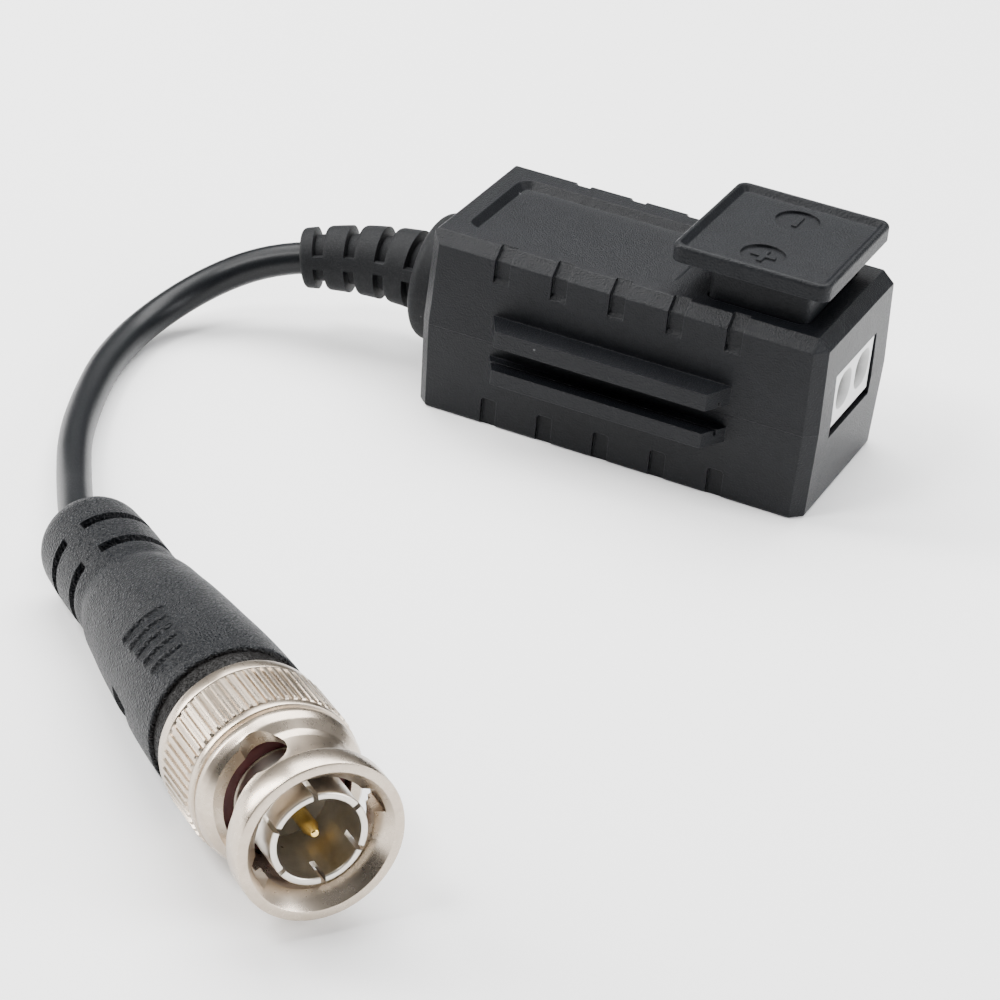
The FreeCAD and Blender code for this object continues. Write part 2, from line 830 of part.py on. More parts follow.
def boot_loft(root_radius, tip_radius, end):
    sections = []
    for index in range(7):
        share = index / 6
        place, heading = boot_frame(end * share)
        grown = end * share / boot_axis_length
        radius = root_radius + (tip_radius - root_radius) * grown
        sections.append(Part.Wire(Part.makeCircle(radius, place, heading)))
    return Part.makeLoft(sections, True, False)


def boot_slot(position):
    place, heading = boot_frame(position)
    share = position / boot_axis_length
    core = boot_core_root_radius + (boot_core_tip_radius - boot_core_root_radius) * share
    start = place - heading * (boot_slot_width / 2)
    ring = Part.makeCylinder(boot_root_radius + 1, boot_slot_width, start, heading)
    ring = ring.cut(Part.makeCylinder(core, boot_slot_width, start, heading))
    web = Part.makeBox(4, 20, boot_web_half_width * 2, Vector(-2, -10, -boot_web_half_width))
    web.rotate(Vector(0, 0, 0), Vector(1, 0, 0), -boot_web_roll)
    web.rotate(Vector(0, 0, 0), Vector(0, 0, 1), math.degrees(math.atan2(-heading.y, -heading.x)))
    web.translate(place)
    return ring.cut(web)


def make_housing_boot():
    face_x = -housing_length / 2
    centre = Vector(0, 0, boot_centre_z)
    outer_x = face_x - boot_flange_length
    flange = cylinder(boot_flange_radius, centre + Vector(face_x, 0, 0), centre + Vector(outer_x, 0, 0))
    rim = [edge for edge in flange.Edges if edge.BoundBox.XMax < outer_x + 0.01]
    flange = flange.makeFillet(boot_flange_edge, rim)
    inner_x = face_x + wall
    neck = cylinder(boot_neck_radius, centre + Vector(face_x - 0.5, 0, 0), centre + Vector(inner_x + 0.5, 0, 0))
    gap = fit_clearance
    inner = cylinder(boot_inner_flange_radius, centre + Vector(inner_x + gap, 0, 0),
                     centre + Vector(inner_x + gap + boot_inner_flange_length, 0, 0))
    boot = flange.fuse(neck).fuse(inner)
    boot = boot.fuse(boot_loft(boot_root_radius, boot_tip_radius, boot_axis_length))
    for index in range(boot_slot_count):
        boot = boot.cut(boot_slot(boot_axis_length - boot_slot_from_tip - index * boot_slot_pitch))
    radius = cable_diameter / 2
    boot = boot.cut(tube(boot_axis(), radius))
    boot = boot.cut(cylinder(radius, centre + Vector(outer_x, 0, 0), centre + Vector(inner_x + 3, 0, 0)))
    return boot


def make_coax_lead_in():
    radius = cable_diameter / 2
    centre = Vector(0, 0, boot_centre_z)
    straight = cylinder(radius, boot_frame(0)[0], centre + Vector(lead_end_x, 0, 0))
    return tube(boot_axis(), radius).fuse(straight).removeSplitter()


def make_coax_core_tail():
    start = Vector(lead_end_x, 0, boot_centre_z)
    bend = start + Vector(2.6, 0, 0)
    down = Vector(bend.x, 0, board_bottom + board_thickness)
    path, radii = tangent_path([start + Vector(0.6, 0, 0), bend, down], 0.6)
    dielectric = cylinder(dielectric_radius, start, start + Vector(0.9, 0, 0))
    return dielectric.fuse(tube(path, conductor_radius))


def make_coax_braid_tail():
    offset = dielectric_radius + braid_radius + fit_clearance
    start = Vector(lead_end_x, -offset, boot_centre_z)
    bend = start + Vector(1.7, 0, 0)
    down = Vector(bend.x, bend.y, board_bottom + board_thickness)
    path, radii = tangent_path([start, bend, down], 0.4)
    return tube(path, braid_radius)


def plug_placement():
    along = Vector(plug_axis).normalize()
    across = Vector(-along.y, along.x, 0).normalize()
    if across.y > 0:
        across = across * -1
    up = along.cross(across)
    origin = mouth_centre
    matrix = FreeCAD.Matrix(across.x, up.x, along.x, origin.x, across.y, up.y, along.y, origin.y,
                            across.z, up.z, along.z, origin.z, 0, 0, 0, 1)
    return FreeCAD.Placement(matrix)


def on_plug(shape):
    placed = shape.copy()
    placed.Placement = plug_placement().multiply(shape.Placement)
    return placed


def revolve(points):
    outline = face([Vector(radius, 0, s) for s, radius in points])
    return outline.revolve(Vector(0, 0, 0), Vector(0, 0, 1), 360)


def ring(start, end, inner, outer):
    return revolve([(start, inner), (start, outer), (end, outer), (end, inner)])


def roll(shape, degrees):
    turned = shape.copy()
    turned.rotate(Vector(0, 0, 0), Vector(0, 0, 1), degrees)
    return turned


def nut_lip_start():
    return collar_end + running_gap + spring_room + washer_thickness + 2 * running_gap


def knurl_ring():
    step = 2 * math.pi / knurl_count
    points = []
    for index in range(knurl_count):
        angle = index * step
        for radius, share in ((knurl_root, 0.0), (knurl_root, 0.16), (knurl_radius, 0.34), (knurl_radius, 0.82)):
            turn = angle + share * step
            points.append(Vector(radius * math.cos(turn), radius * math.sin(turn), knurl_start))
    return face(points).extrude(Vector(0, 0, knurl_end - knurl_start))


def bayonet_outline():
    steps = 9
    peak_roll = slot_start_roll + 0.84 * (slot_end_roll - slot_start_roll)
    centres = []
    for index in range(steps + 1):
        share = index / steps
        angle = slot_start_roll + share * (peak_roll - slot_start_roll)
        ease = math.sin(share * math.pi / 2)
        centres.append((math.radians(angle) * neck_radius, slot_start_s + (slot_peak_s - slot_start_s) * ease))
    centres.append((math.radians(slot_end_roll) * neck_radius, slot_end_s))
    half = slot_width / 2
    left = []
    right = []
    headings = []
    for index, (run, s) in enumerate(centres):
        before = centres[max(index - 1, 0)]
        after = centres[min(index + 1, len(centres) - 1)]
        heading = math.atan2(after[1] - before[1], after[0] - before[0])
        headings.append(heading)
        left.append((run - half * math.sin(heading), s + half * math.cos(heading)))
        right.append((run + half * math.sin(heading), s - half * math.cos(heading)))

    def round_end(centre, first):
        turns = [first - math.pi * step / 8 for step in range(1, 8)]
        return [(centre[0] + half * math.cos(turn), centre[1] + half * math.sin(turn)) for turn in turns]

    far_end = round_end(centres[-1], headings[-1] + math.pi / 2)
    near_end = round_end(centres[0], headings[0] - math.pi / 2)
    return left, far_end, right, near_end


def bayonet_cutter(half_turn):
    left, far_end, right, near_end = bayonet_outline()
    outline = left + far_end + right[::-1] + near_end
    caps = []
    for index in range(len(left) - 1):
        caps.append((left[index], left[index + 1], right[index + 1]))
        caps.append((left[index], right[index + 1], right[index]))
    for fan in ([left[-1]] + far_end + [right[-1]], [right[0]] + near_end + [left[0]]):
        caps += [(fan[0], fan[index], fan[index + 1]) for index in range(1, len(fan) - 1)]

    def place(point, radius):
        angle = point[0] / neck_radius + math.radians(half_turn)
        return Vector(radius * math.cos(angle), radius * math.sin(angle), point[1])

    deep = nut_bore - 0.6
    high = knurl_radius + 0.9
    triangles = []
    for a, b, c in caps:
        triangles.append([place(a, high), place(b, high), place(c, high)])
        triangles.append([place(a, deep), place(c, deep), place(b, deep)])
    for a, b in zip(outline, outline[1:] + outline[:1]):
        triangles.append([place(a, high), place(b, high), place(b, deep)])
        triangles.append([place(a, high), place(b, deep), place(a, deep)])
    shell = Part.makeShell([face(corners) for corners in triangles])
    shell.sewShape()
    cutter = Part.Solid(shell)
    return cutter if cutter.Volume > 0 else cutter.reversed()


def make_coupling_nut():
    lip = nut_lip_start()
    cavity_front = collar_start - running_gap
    outline = [
        (nut_mouth_chamfer, nut_bore), (0, nut_face_inner), (0, flange_radius - 0.35),
        (0.35, flange_radius), (flange_end - 0.4, flange_radius), (flange_end, flange_radius - 0.35),
        (flange_end + 0.1, neck_radius + 0.2), (flange_end + 0.4, neck_radius), (neck_end, neck_radius),
    ]
    rise = shoulder_radius - neck_radius
    run = shoulder_end - neck_end
    for index in range(1, 6):
        angle = math.radians(18 * index)
        outline.append((neck_end + run * (1 - math.cos(angle)) ** 0.8, neck_radius + rise * math.sin(angle)))
    groove = shoulder_radius - band_groove_depth
    outline += [
        (band_groove_start, shoulder_radius), (band_groove_start + 0.05, groove), (band_groove_end - 0.05, groove),
        (band_groove_end, rim_radius), (knurl_start - 0.2, rim_radius), (knurl_start, knurl_root - 0.03),
        (knurl_end, knurl_root - 0.03), (knurl_end + 0.1, rim_radius), (nut_end - 0.3, rim_radius),
        (nut_end, rim_radius - 0.35), (nut_end, nut_bore), (lip, nut_bore), (lip, collar_radius + 0.15),
        (cavity_front, collar_radius + 0.15), (cavity_front, nut_relief_radius),
        (nut_relief_start, nut_relief_radius), (nut_relief_start, nut_bore),
    ]
    nut = revolve(outline).fuse(knurl_ring())
    hollow = ring(cavity_front, lip, nut_bore - 0.5, collar_radius + 0.15)
    nut = nut.cut(hollow).cut(Part.makeCylinder(nut_bore, nut_end + 1, Vector(0, 0, nut_mouth_chamfer)))
    mouth = revolve([(-0.1, 0), (-0.1, nut_face_inner + 0.04), (nut_mouth_chamfer, nut_bore), (nut_mouth_chamfer, 0)])
    nut = nut.cut(mouth)
    for half_turn in (0, 180):
        half = lug_groove_width / 2
        groove = Part.makeBox(lug_groove_radius, lug_groove_width, lug_groove_end + 0.1, Vector(0, -half, -0.1))
        groove = groove.common(Part.makeCylinder(lug_groove_radius, lug_groove_end + 1, Vector(0, 0, -0.5)))
        nut = nut.cut(roll(groove, slot_start_roll + half_turn)).cut(bayonet_cutter(half_turn))
        rest = Part.makeCylinder(slot_end_radius, knurl_radius, Vector(nut_bore - 0.6, 0, slot_end_s), Vector(1, 0, 0))
        nut = nut.cut(roll(rest, slot_end_roll + half_turn))
    return nut


def make_plug_body():
    body = revolve([
        (sleeve_start, sleeve_bore), (sleeve_start, sleeve_radius - 0.08), (sleeve_start + 0.08, sleeve_radius),
        (gasket_start, sleeve_radius), (gasket_start, gasket_seat_radius),
        (front_boss_start, gasket_seat_radius), (front_boss_start, front_boss_radius), (collar_start, front_boss_radius),
        (collar_start, collar_radius), (collar_end, collar_radius), (collar_end, barrel_radius),
        (barrel_end, barrel_radius), (barrel_end, stem_radius), (stem_end, stem_radius), (stem_end, stem_bore),
        (insulator_end, stem_bore), (insulator_end, sleeve_bore),
    ])
    for index in range(slit_count):
        slit = Part.makeBox(sleeve_radius + 1, slit_width, slit_end, Vector(0, -slit_width / 2, 0))
        body = body.cut(roll(slit, slit_roll + index * 360 / slit_count))
    return body


def make_centre_pin():
    return revolve([
        (pin_start, 0), (pin_start + 0.05, 0.2), (pin_start + 0.2, 0.3), (pin_start + 1.1, pin_radius),
        (insulator_start, pin_radius), (insulator_start, pin_seat_radius), (pin_end, pin_seat_radius), (pin_end, 0),
    ])


def make_wave_spring():
    inner = barrel_radius + 0.1
    outer = collar_radius - 0.05
    low = collar_end + running_gap
    washer = ring(low, low + spring_room, inner, outer)
    thick = 0.25
    bow = spring_room - thick
    radius = (outer * outer + bow * bow) / (2 * bow)
    axis_start = Vector(-10, 0, low + spring_room - radius)
    along = Vector(1, 0, 0)
    shell = Part.makeCylinder(radius, 20, axis_start, along)
    return washer.common(shell.cut(Part.makeCylinder(radius - thick, 20, axis_start, along)))


def make_thrust_washer():
    start = collar_end + 2 * running_gap + spring_room
    return ring(start, start + washer_thickness, barrel_radius + 0.06, collar_radius)


def boot_radius(position):
    profile = boot_profile + band_profile
    for (s0, r0), (s1, r1) in zip(profile, profile[1:]):
        if s0 <= position <= s1:
            return r0 + (r1 - r0) * (position - s0) / (s1 - s0)
    return profile[-1][1]


def sector(start, end, middle, half_angle, inner, outer):
    part = ring(start, end, inner, outer)
    reach = outer + 2
    corners = [Vector(0, 0, start - 0.5)]
    for share in (-1, -0.33, 0.33, 1):
        angle = math.radians(middle + share * half_angle)
        corners.append(Vector(2 * reach * math.cos(angle), 2 * reach * math.sin(angle), start - 0.5))
    wedge = face(corners).extrude(Vector(0, 0, end - start + 1))
    return part.common(wedge)


def make_plug_boot():
    outline = [(plug_boot_start, barrel_radius + fit_clearance)]
    outline += [(plug_boot_start, plug_boot_band_radius), (plug_boot_band_end, plug_boot_band_radius),
                (plug_boot_band_end, boot_profile[0][1] - 0.2)]
    outline += boot_profile + band_profile
    last_s, last_radius = band_profile[-1]
    for index in range(1, 6):
        angle = math.radians(18 * index)
        outline.append((last_s + (plug_boot_end - last_s) * math.sin(angle),
                        tail_radius + (last_radius - tail_radius) * math.cos(angle)))
    bore = cable_diameter / 2
    outer_ferrule = stem_radius + fit_clearance + ferrule_wall
    outline += [
        (plug_boot_end, bore), (ferrule_end + fit_clearance, bore),
        (ferrule_end + fit_clearance, outer_ferrule + fit_clearance),
        (barrel_end + fit_clearance, outer_ferrule + fit_clearance),
        (barrel_end + fit_clearance, barrel_radius + fit_clearance),
    ]
    boot = revolve(outline)
    for index, half_angle in enumerate(ridge_half_angles):
        start = ridge_first - ridge_width / 2 + index * ridge_pitch
        radius = boot_radius(start + ridge_width / 2)
        for half_turn in (0, 180):
            ridge = sector(start, start + ridge_width, web_roll + half_turn, half_angle,
                           radius - 0.6, radius + ridge_rise)
            boot = boot.fuse(ridge)
    for position in flex_slot_positions:
        start = position - flex_slot_width / 2
        for side in (90, 270):
            slot = sector(start, start + flex_slot_width, web_roll + side, 90 - web_half_angle,
                          flex_slot_core, barrel_radius + 2)
            boot = boot.cut(slot)
    return boot


def make_coax_plug_end():
    jacket_start = stem_end + 0.4
    jacket = Part.makeCylinder(cable_diameter / 2, plug_boot_end - jacket_start, Vector(0, 0, jacket_start))
    inner = Part.makeCylinder(stem_bore, jacket_start - pin_end, Vector(0, 0, pin_end))
    return jacket.fuse(inner)


def make_coax_cable():
    start, heading = boot_frame(boot_axis_length)
    end = plug_placement().multVec(Vector(0, 0, plug_boot_end))
    before_end = plug_placement().multVec(Vector(0, 0, plug_boot_end + cable_run_in))
    path, radii = tangent_path([start, start + heading * cable_lead_out] + cable_points + [before_end, end])
    cable = tube(path, cable_diameter / 2)
    expected = math.pi * (cable_diameter / 2) ** 2 * path.Length
    print("cable length %.2f" % path.Length, "volume ratio %.4f" % (cable.Volume / expected))
    print("cable radii", " ".join("%.1f" % radius for radius in radii))
    return cable


def all_pieces():
    near, far = way_centres()
    return {
        "upper_shell": make_upper_shell(),
        "lower_shell": make_lower_shell(),
        "push_button": make_push_button(),
        "terminal_block": make_terminal_block(),
        "clamp_spring_near": make_clamp_spring(near),
        "clamp_spring_far": make_clamp_spring(far),
        "contact_bar_near": make_contact_bar(near),
        "contact_bar_far": make_contact_bar(far),
        "circuit_board": make_circuit_board(),
        "balun_core": make_balun_core(),
        "winding_line": make_winding(90),
        "winding_coax": make_winding(270),
        "surge_protector": make_surge_protector(),
        "matching_capacitor": make_chip(core_centre_x - 7.0, 4.2, 3.2, 1.6, 1.3),
        "matching_resistor": make_chip(block_start_x - 5.3, 4.5, 3.2, 1.6, 0.6),
        "housing_boot": make_housing_boot(),
        "coax_lead_in": make_coax_lead_in(),
        "coax_core_tail": make_coax_core_tail(),
        "coax_braid_tail": make_coax_braid_tail(),
        "coax_cable": make_coax_cable(),
        "coax_plug_end": on_plug(make_coax_plug_end()),
        "plug_boot": on_plug(make_plug_boot()),
        "plug_body": on_plug(make_plug_body()),
        "plug_ferrule": on_plug(ring(ferrule_start, ferrule_end, stem_radius + fit_clearance,
                                     stem_radius + fit_clearance + ferrule_wall)),
        "plug_insulator": on_plug(ring(insulator_start, insulator_end, pin_seat_radius, sleeve_bore)),
        "centre_pin": on_plug(make_centre_pin()),
        "plug_gasket": on_plug(ring(gasket_start, front_boss_start, gasket_seat_radius, front_boss_radius)),
        "wave_spring": on_plug(make_wave_spring()),
        "thrust_washer": on_plug(make_thrust_washer()),
        "coupling_nut": on_plug(make_coupling_nut()),
    }


os.makedirs("parts", exist_ok=True)
for name, shape in all_pieces().items():
    solids = shape.Solids
    solid = solids[0] if len(solids) == 1 else Part.makeCompound(solids)
    solid.exportStep("parts/" + name + ".step")
    bounds = solid.BoundBox
    print(name, len(solids), "valid" if solid.isValid() else "INVALID", "%.1f mm3" % solid.Volume,
          "x %.2f %.2f y %.2f %.2f z %.2f %.2f" % (bounds.XMin, bounds.XMax, bounds.YMin, bounds.YMax,
                                                   bounds.ZMin, bounds.ZMax))
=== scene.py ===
import json
import math

import bmesh
import bpy
from mathutils import Matrix, Vector


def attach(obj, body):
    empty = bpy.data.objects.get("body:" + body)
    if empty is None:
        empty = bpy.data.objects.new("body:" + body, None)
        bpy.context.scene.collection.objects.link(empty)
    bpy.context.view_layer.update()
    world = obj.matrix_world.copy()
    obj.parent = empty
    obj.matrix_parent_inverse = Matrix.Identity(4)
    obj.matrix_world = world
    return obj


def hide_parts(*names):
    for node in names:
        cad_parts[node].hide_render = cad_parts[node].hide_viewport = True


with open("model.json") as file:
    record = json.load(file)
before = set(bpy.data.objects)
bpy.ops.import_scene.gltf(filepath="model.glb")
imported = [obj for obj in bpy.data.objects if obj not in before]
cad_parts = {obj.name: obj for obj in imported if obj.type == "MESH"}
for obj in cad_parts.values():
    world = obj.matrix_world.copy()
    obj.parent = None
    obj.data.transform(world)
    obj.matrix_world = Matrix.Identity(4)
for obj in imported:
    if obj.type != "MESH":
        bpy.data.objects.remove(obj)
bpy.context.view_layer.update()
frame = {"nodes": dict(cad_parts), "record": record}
nodes = frame["nodes"]
print("frame loaded:", len(nodes), "nodes")

millimetre = 0.001

# plug frame: Z runs from the plug's mouth towards the cable
plug = {"mouth": (11.5, -90.35, 8.42), "axis": (-0.7730, 0.6304, -0.0706)}


def plugFrame():
    along = Vector(plug["axis"]).normalized()
    across = Vector((along.y, -along.x, 0)).normalized()
    if across.y > 0:
        across = -across
    up = along.cross(across)
    turn = Matrix((across, up, along)).transposed().to_4x4()
    return Matrix.Translation(Vector(plug["mouth"]) * millimetre) @ turn


onPlug = plugFrame()


# mesh helpers, in millimetres
def addPiece(name, vertices, faces, place=None, sharpAngle=30, weld=False):
    mesh = bpy.data.meshes.new(name)
    mesh.from_pydata([Vector(v) * millimetre for v in vertices], [], faces)
    mesh.validate()
    if place is not None:
        mesh.transform(place)
    orientOutward(mesh, weld)
    piece = bpy.data.objects.new(name, mesh)
    bpy.context.scene.collection.objects.link(piece)
    shadeSmooth(piece, sharpAngle)
    return piece


def orientOutward(mesh, weld):
    edited = bmesh.new()
    edited.from_mesh(mesh)
    if weld:
        bmesh.ops.remove_doubles(edited, verts=edited.verts, dist=1e-7)
    bmesh.ops.recalc_face_normals(edited, faces=edited.faces)
    edited.to_mesh(mesh)
    edited.free()


def shadeSmooth(piece, sharpAngle):
    mesh = piece.data
    mesh.polygons.foreach_set("use_smooth", [True] * len(mesh.polygons))
    mesh.set_sharp_from_angle(angle=math.radians(sharpAngle))


def roundCorners(points, closed=True, steps=4):
    # points are (along, radius, corner radius); each corner becomes an arc
    made = []
    count = len(points)
    longest = 0.49
    for index, (s, r, corner) in enumerate(points):
        atEnd = not closed and index in (0, count - 1)
        if corner <= 0 or atEnd:
            made.append((s, r))
            continue
        here = Vector((s, r))
        before = Vector(points[index - 1][:2]) - here
        after = Vector(points[(index + 1) % count][:2]) - here
        turn = before.angle(after)
        reach = min(corner / math.tan(turn / 2), before.length * longest, after.length * longest)
        radius = reach * math.tan(turn / 2)
        inward = (before.normalized() + after.normalized()).normalized()
        centre = here + inward * (radius / math.sin(turn / 2))
        start = here + before.normalized() * reach - centre
        end = here + after.normalized() * reach - centre
        sweep = start.angle_signed(end)
        for step in range(steps + 1):
            spoke = start.copy()
            spoke.rotate(Matrix.Rotation(-sweep * step / steps, 2))
            made.append(tuple(centre + spoke))
    return made


def latheGrid(profile, segments, closed=True, radiusAt=None):
    vertices = []
    for s, r in profile:
        for index in range(segments):
            angle = 2 * math.pi * index / segments
            radius = r if radiusAt is None else radiusAt(s, r, angle)
            vertices.append((radius * math.cos(angle), radius * math.sin(angle), s))
    return vertices, ringFaces(len(profile), segments, closed)


def ringFaces(rings, segments, closed=True):
    faces = []
    for row in range(rings if closed else rings - 1):
        following = (row + 1) % rings
        for index in range(segments):
            after = (index + 1) % segments
            faces.append((row * segments + index, row * segments + after,
                          following * segments + after, following * segments + index))
    return faces


def prismFaces(count, caps=True):
    # sides between two like outlines of count points, and the two flat ends
    faces = ringFaces(2, count, False)
    return faces + [tuple(range(count)), tuple(range(count, 2 * count))] if caps else faces


def cutWith(piece, cutters):
    for cutter in cutters:
        tool = piece.modifiers.new("cut", "BOOLEAN")
        tool.operation = "DIFFERENCE"
        tool.solver = "EXACT"
        tool.object = cutter
    bpy.context.view_layer.update()
    graph = bpy.context.evaluated_depsgraph_get()
    finished = bpy.data.meshes.new_from_object(piece.evaluated_get(graph))
    piece.modifiers.clear()
    old = piece.data
    piece.data = finished
    bpy.data.meshes.remove(old)
    for cutter in cutters:
        bpy.data.objects.remove(cutter)


def smoothStep(low, high, value):
    share = min(max((value - low) / (high - low), 0.0), 1.0)
    return share * share * (3 - 2 * share)


def interpolate(table, value):
    # smooth curve through a table of (position, value) pairs
    for index in range(len(table) - 1):
        s0, v0 = table[index]
        s1, v1 = table[index + 1]
        if value <= s1:
            before = table[max(index - 1, 0)]
            after = table[min(index + 2, len(table) - 1)]
            slope0 = (v1 - before[1]) / (s1 - before[0])
            slope1 = (after[1] - v0) / (after[0] - s0)
            span = s1 - s0
            t = (value - s0) / span
            return ((2 * t ** 3 - 3 * t ** 2 + 1) * v0 + (t ** 3 - 2 * t ** 2 + t) * span * slope0
                    + (3 * t ** 2 - 2 * t ** 3) * v1 + (t ** 3 - t ** 2) * span * slope1)
    return table[-1][1]


# shader node groups
def newGroup(name, inputs, outputs):
    group = bpy.data.node_groups.new(name, "ShaderNodeTree")
    for label, kind, default in inputs:
        socket = group.interface.new_socket(label, in_out="INPUT", socket_type=kind)
        if default is not None:
            socket.default_value = default
    for label, kind in outputs:
        group.interface.new_socket(label, in_out="OUTPUT", socket_type=kind)
    start = group.nodes.new("NodeGroupInput")
    end = group.nodes.new("NodeGroupOutput")
    return group, start, end


def feed(tree, node, inputs):
    # each value is another node's output or a plain setting
    for key, value in inputs.items():
        if isinstance(value, bpy.types.NodeSocket):
            tree.links.new(value, node.inputs[key])
        else:
            node.inputs[key].default_value = value


def addNode(tree, kind, settings=None, inputs=None):
    node = tree.nodes.new(kind)
    for key, value in (settings or {}).items():
        setattr(node, key, value)
    feed(tree, node, inputs or {})
    return node


def mathNode(tree, operation, *values):
    return addNode(tree, "ShaderNodeMath", {"operation": operation}, dict(enumerate(values))).outputs[0]


def rangeNode(tree, value, start, end, low=0.0, high=1.0, smooth=False):
    node = addNode(tree, "ShaderNodeMapRange", {"interpolation_type": "SMOOTHSTEP" if smooth else "LINEAR"},
                   {"Value": value, "From Min": start, "From Max": end, "To Min": low, "To Max": high})
    return node.outputs["Result"]


def noiseNode(tree, position, scale, detail, roughness=0.5):
    return addNode(tree, "ShaderNodeTexNoise", {"noise_dimensions": "3D"},
                   {"Vector": position, "Scale": scale, "Detail": detail, "Roughness": roughness})


def rampNode(tree, value, *stops):
    node = tree.nodes.new("ShaderNodeValToRGB")
    for element, (position, colour) in zip(node.color_ramp.elements, stops):
        element.position = position
        element.color = colour
    tree.links.new(value, node.inputs["Fac"])
    return node.outputs["Color"]


def scatterCells(group, position, density, share):
    # picks a share of the cells; gives the pick and the distance from the cell's centre
    cells = addNode(group, "ShaderNodeTexVoronoi", {"feature": "F1"}, {"Vector": position, "Scale": density})
    pick = addNode(group, "ShaderNodeTexWhiteNoise", {"noise_dimensions": "3D"},
                   {"Vector": cells.outputs["Position"]})
    return mathNode(group, "LESS_THAN", pick.outputs["Value"], share), cells.outputs["Distance"]


def makeMouldGrain():
    # spark-eroded mould texture: fine bumps with a softer, larger unevenness under them
    group, start, end = newGroup(
        "mouldGrain",
        [("Position", "NodeSocketVector", None), ("Grain per mm", "NodeSocketFloat", 6.0),
         ("Unevenness", "NodeSocketFloat", 0.3)],
        [("Height", "NodeSocketFloat"), ("Mottle", "NodeSocketFloat")])
    position = start.outputs["Position"]
    density = start.outputs["Grain per mm"]
    fine = noiseNode(group, position, density, detail=2.0, roughness=0.55)
    cells = addNode(group, "ShaderNodeTexVoronoi", {"feature": "SMOOTH_F1"},
                    {"Vector": position, "Scale": density, "Smoothness": 0.6})
    broad = noiseNode(group, position, scale=0.35, detail=3.0)
    bumps = mathNode(group, "MULTIPLY_ADD", cells.outputs["Distance"], -0.7, fine.outputs["Fac"])
    swell = mathNode(group, "MULTIPLY", broad.outputs["Fac"], start.outputs["Unevenness"])
    group.links.new(mathNode(group, "ADD", bumps, swell), end.inputs["Height"])
    group.links.new(broad.outputs["Fac"], end.inputs["Mottle"])
    return group


def makeLeatherGrain():
    # pebbled vinyl skin: rounded cells parted by narrow creases
    group, start, end = newGroup(
        "leatherGrain",
        [("Position", "NodeSocketVector", None), ("Cells per mm", "NodeSocketFloat", 3.4),
         ("Crease", "NodeSocketFloat", 0.28)],
        [("Height", "NodeSocketFloat"), ("Mottle", "NodeSocketFloat")])
    position = start.outputs["Position"]
    warp = noiseNode(group, position, scale=1.6, detail=2.0)
    shift = addNode(group, "ShaderNodeVectorMath", {"operation": "MULTIPLY_ADD"},
                    {0: warp.outputs["Color"], 1: (0.35, 0.35, 0.35), 2: position})
    cells = addNode(group, "ShaderNodeTexVoronoi", {"feature": "DISTANCE_TO_EDGE"},
                    {"Vector": shift.outputs[0], "Scale": start.outputs["Cells per mm"]})
    rounded = rangeNode(group, cells.outputs["Distance"], 0.0, start.outputs["Crease"], smooth=True)
    fine = noiseNode(group, position, scale=9.0, detail=2.0)
    group.links.new(mathNode(group, "MULTIPLY_ADD", fine.outputs["Fac"], 0.25, rounded), end.inputs["Height"])
    group.links.new(warp.outputs["Fac"], end.inputs["Mottle"])
    return group


def makeEdgeWearAndHighlight():
    # where the surface bends sharply, from the difference between the true and the rounded normal; this edge
    # mask feeds the rim lightening, which is partly wear and partly painted highlight
    group, start, end = newGroup(
        "edgeWearAndHighlight",
        [("Position", "NodeSocketVector", None), ("Reach m", "NodeSocketFloat", 0.0002),
         ("Breakup per mm", "NodeSocketFloat", 1.5)],
        [("Rounded Normal", "NodeSocketVector"), ("Edge", "NodeSocketFloat")])
    bevel = addNode(group, "ShaderNodeBevel", {"samples": 4}, {"Radius": start.outputs["Reach m"]})
    surface = group.nodes.new("ShaderNodeNewGeometry")
    match = addNode(group, "ShaderNodeVectorMath", {"operation": "DOT_PRODUCT"},
                    {0: bevel.outputs["Normal"], 1: surface.outputs["Normal"]})
    bend = mathNode(group, "SUBTRACT", 1.0, match.outputs["Value"])
    noise = noiseNode(group, start.outputs["Position"], start.outputs["Breakup per mm"], detail=4.0)
    broken = mathNode(group, "MULTIPLY", bend, mathNode(group, "MULTIPLY", noise.outputs["Fac"], 6.0))
    clamp = addNode(group, "ShaderNodeClamp", {}, {"Value": broken})
    group.links.new(bevel.outputs["Normal"], end.inputs["Rounded Normal"])
    group.links.new(clamp.outputs["Result"], end.inputs["Edge"])
    return group


def makeDustSpecks():
    # sparse pale specks
    group, start, end = newGroup(
        "dustSpecks",
        [("Position", "NodeSocketVector", None), ("Specks per mm", "NodeSocketFloat", 0.8),
         ("Share", "NodeSocketFloat", 0.06)],
        [("Mask", "NodeSocketFloat")])
    chosen, distance = scatterCells(group, start.outputs["Position"], start.outputs["Specks per mm"],
                                    start.outputs["Share"])
    small = mathNode(group, "LESS_THAN", distance, 0.07)
    group.links.new(mathNode(group, "MULTIPLY", chosen, small), end.inputs["Mask"])
    return group


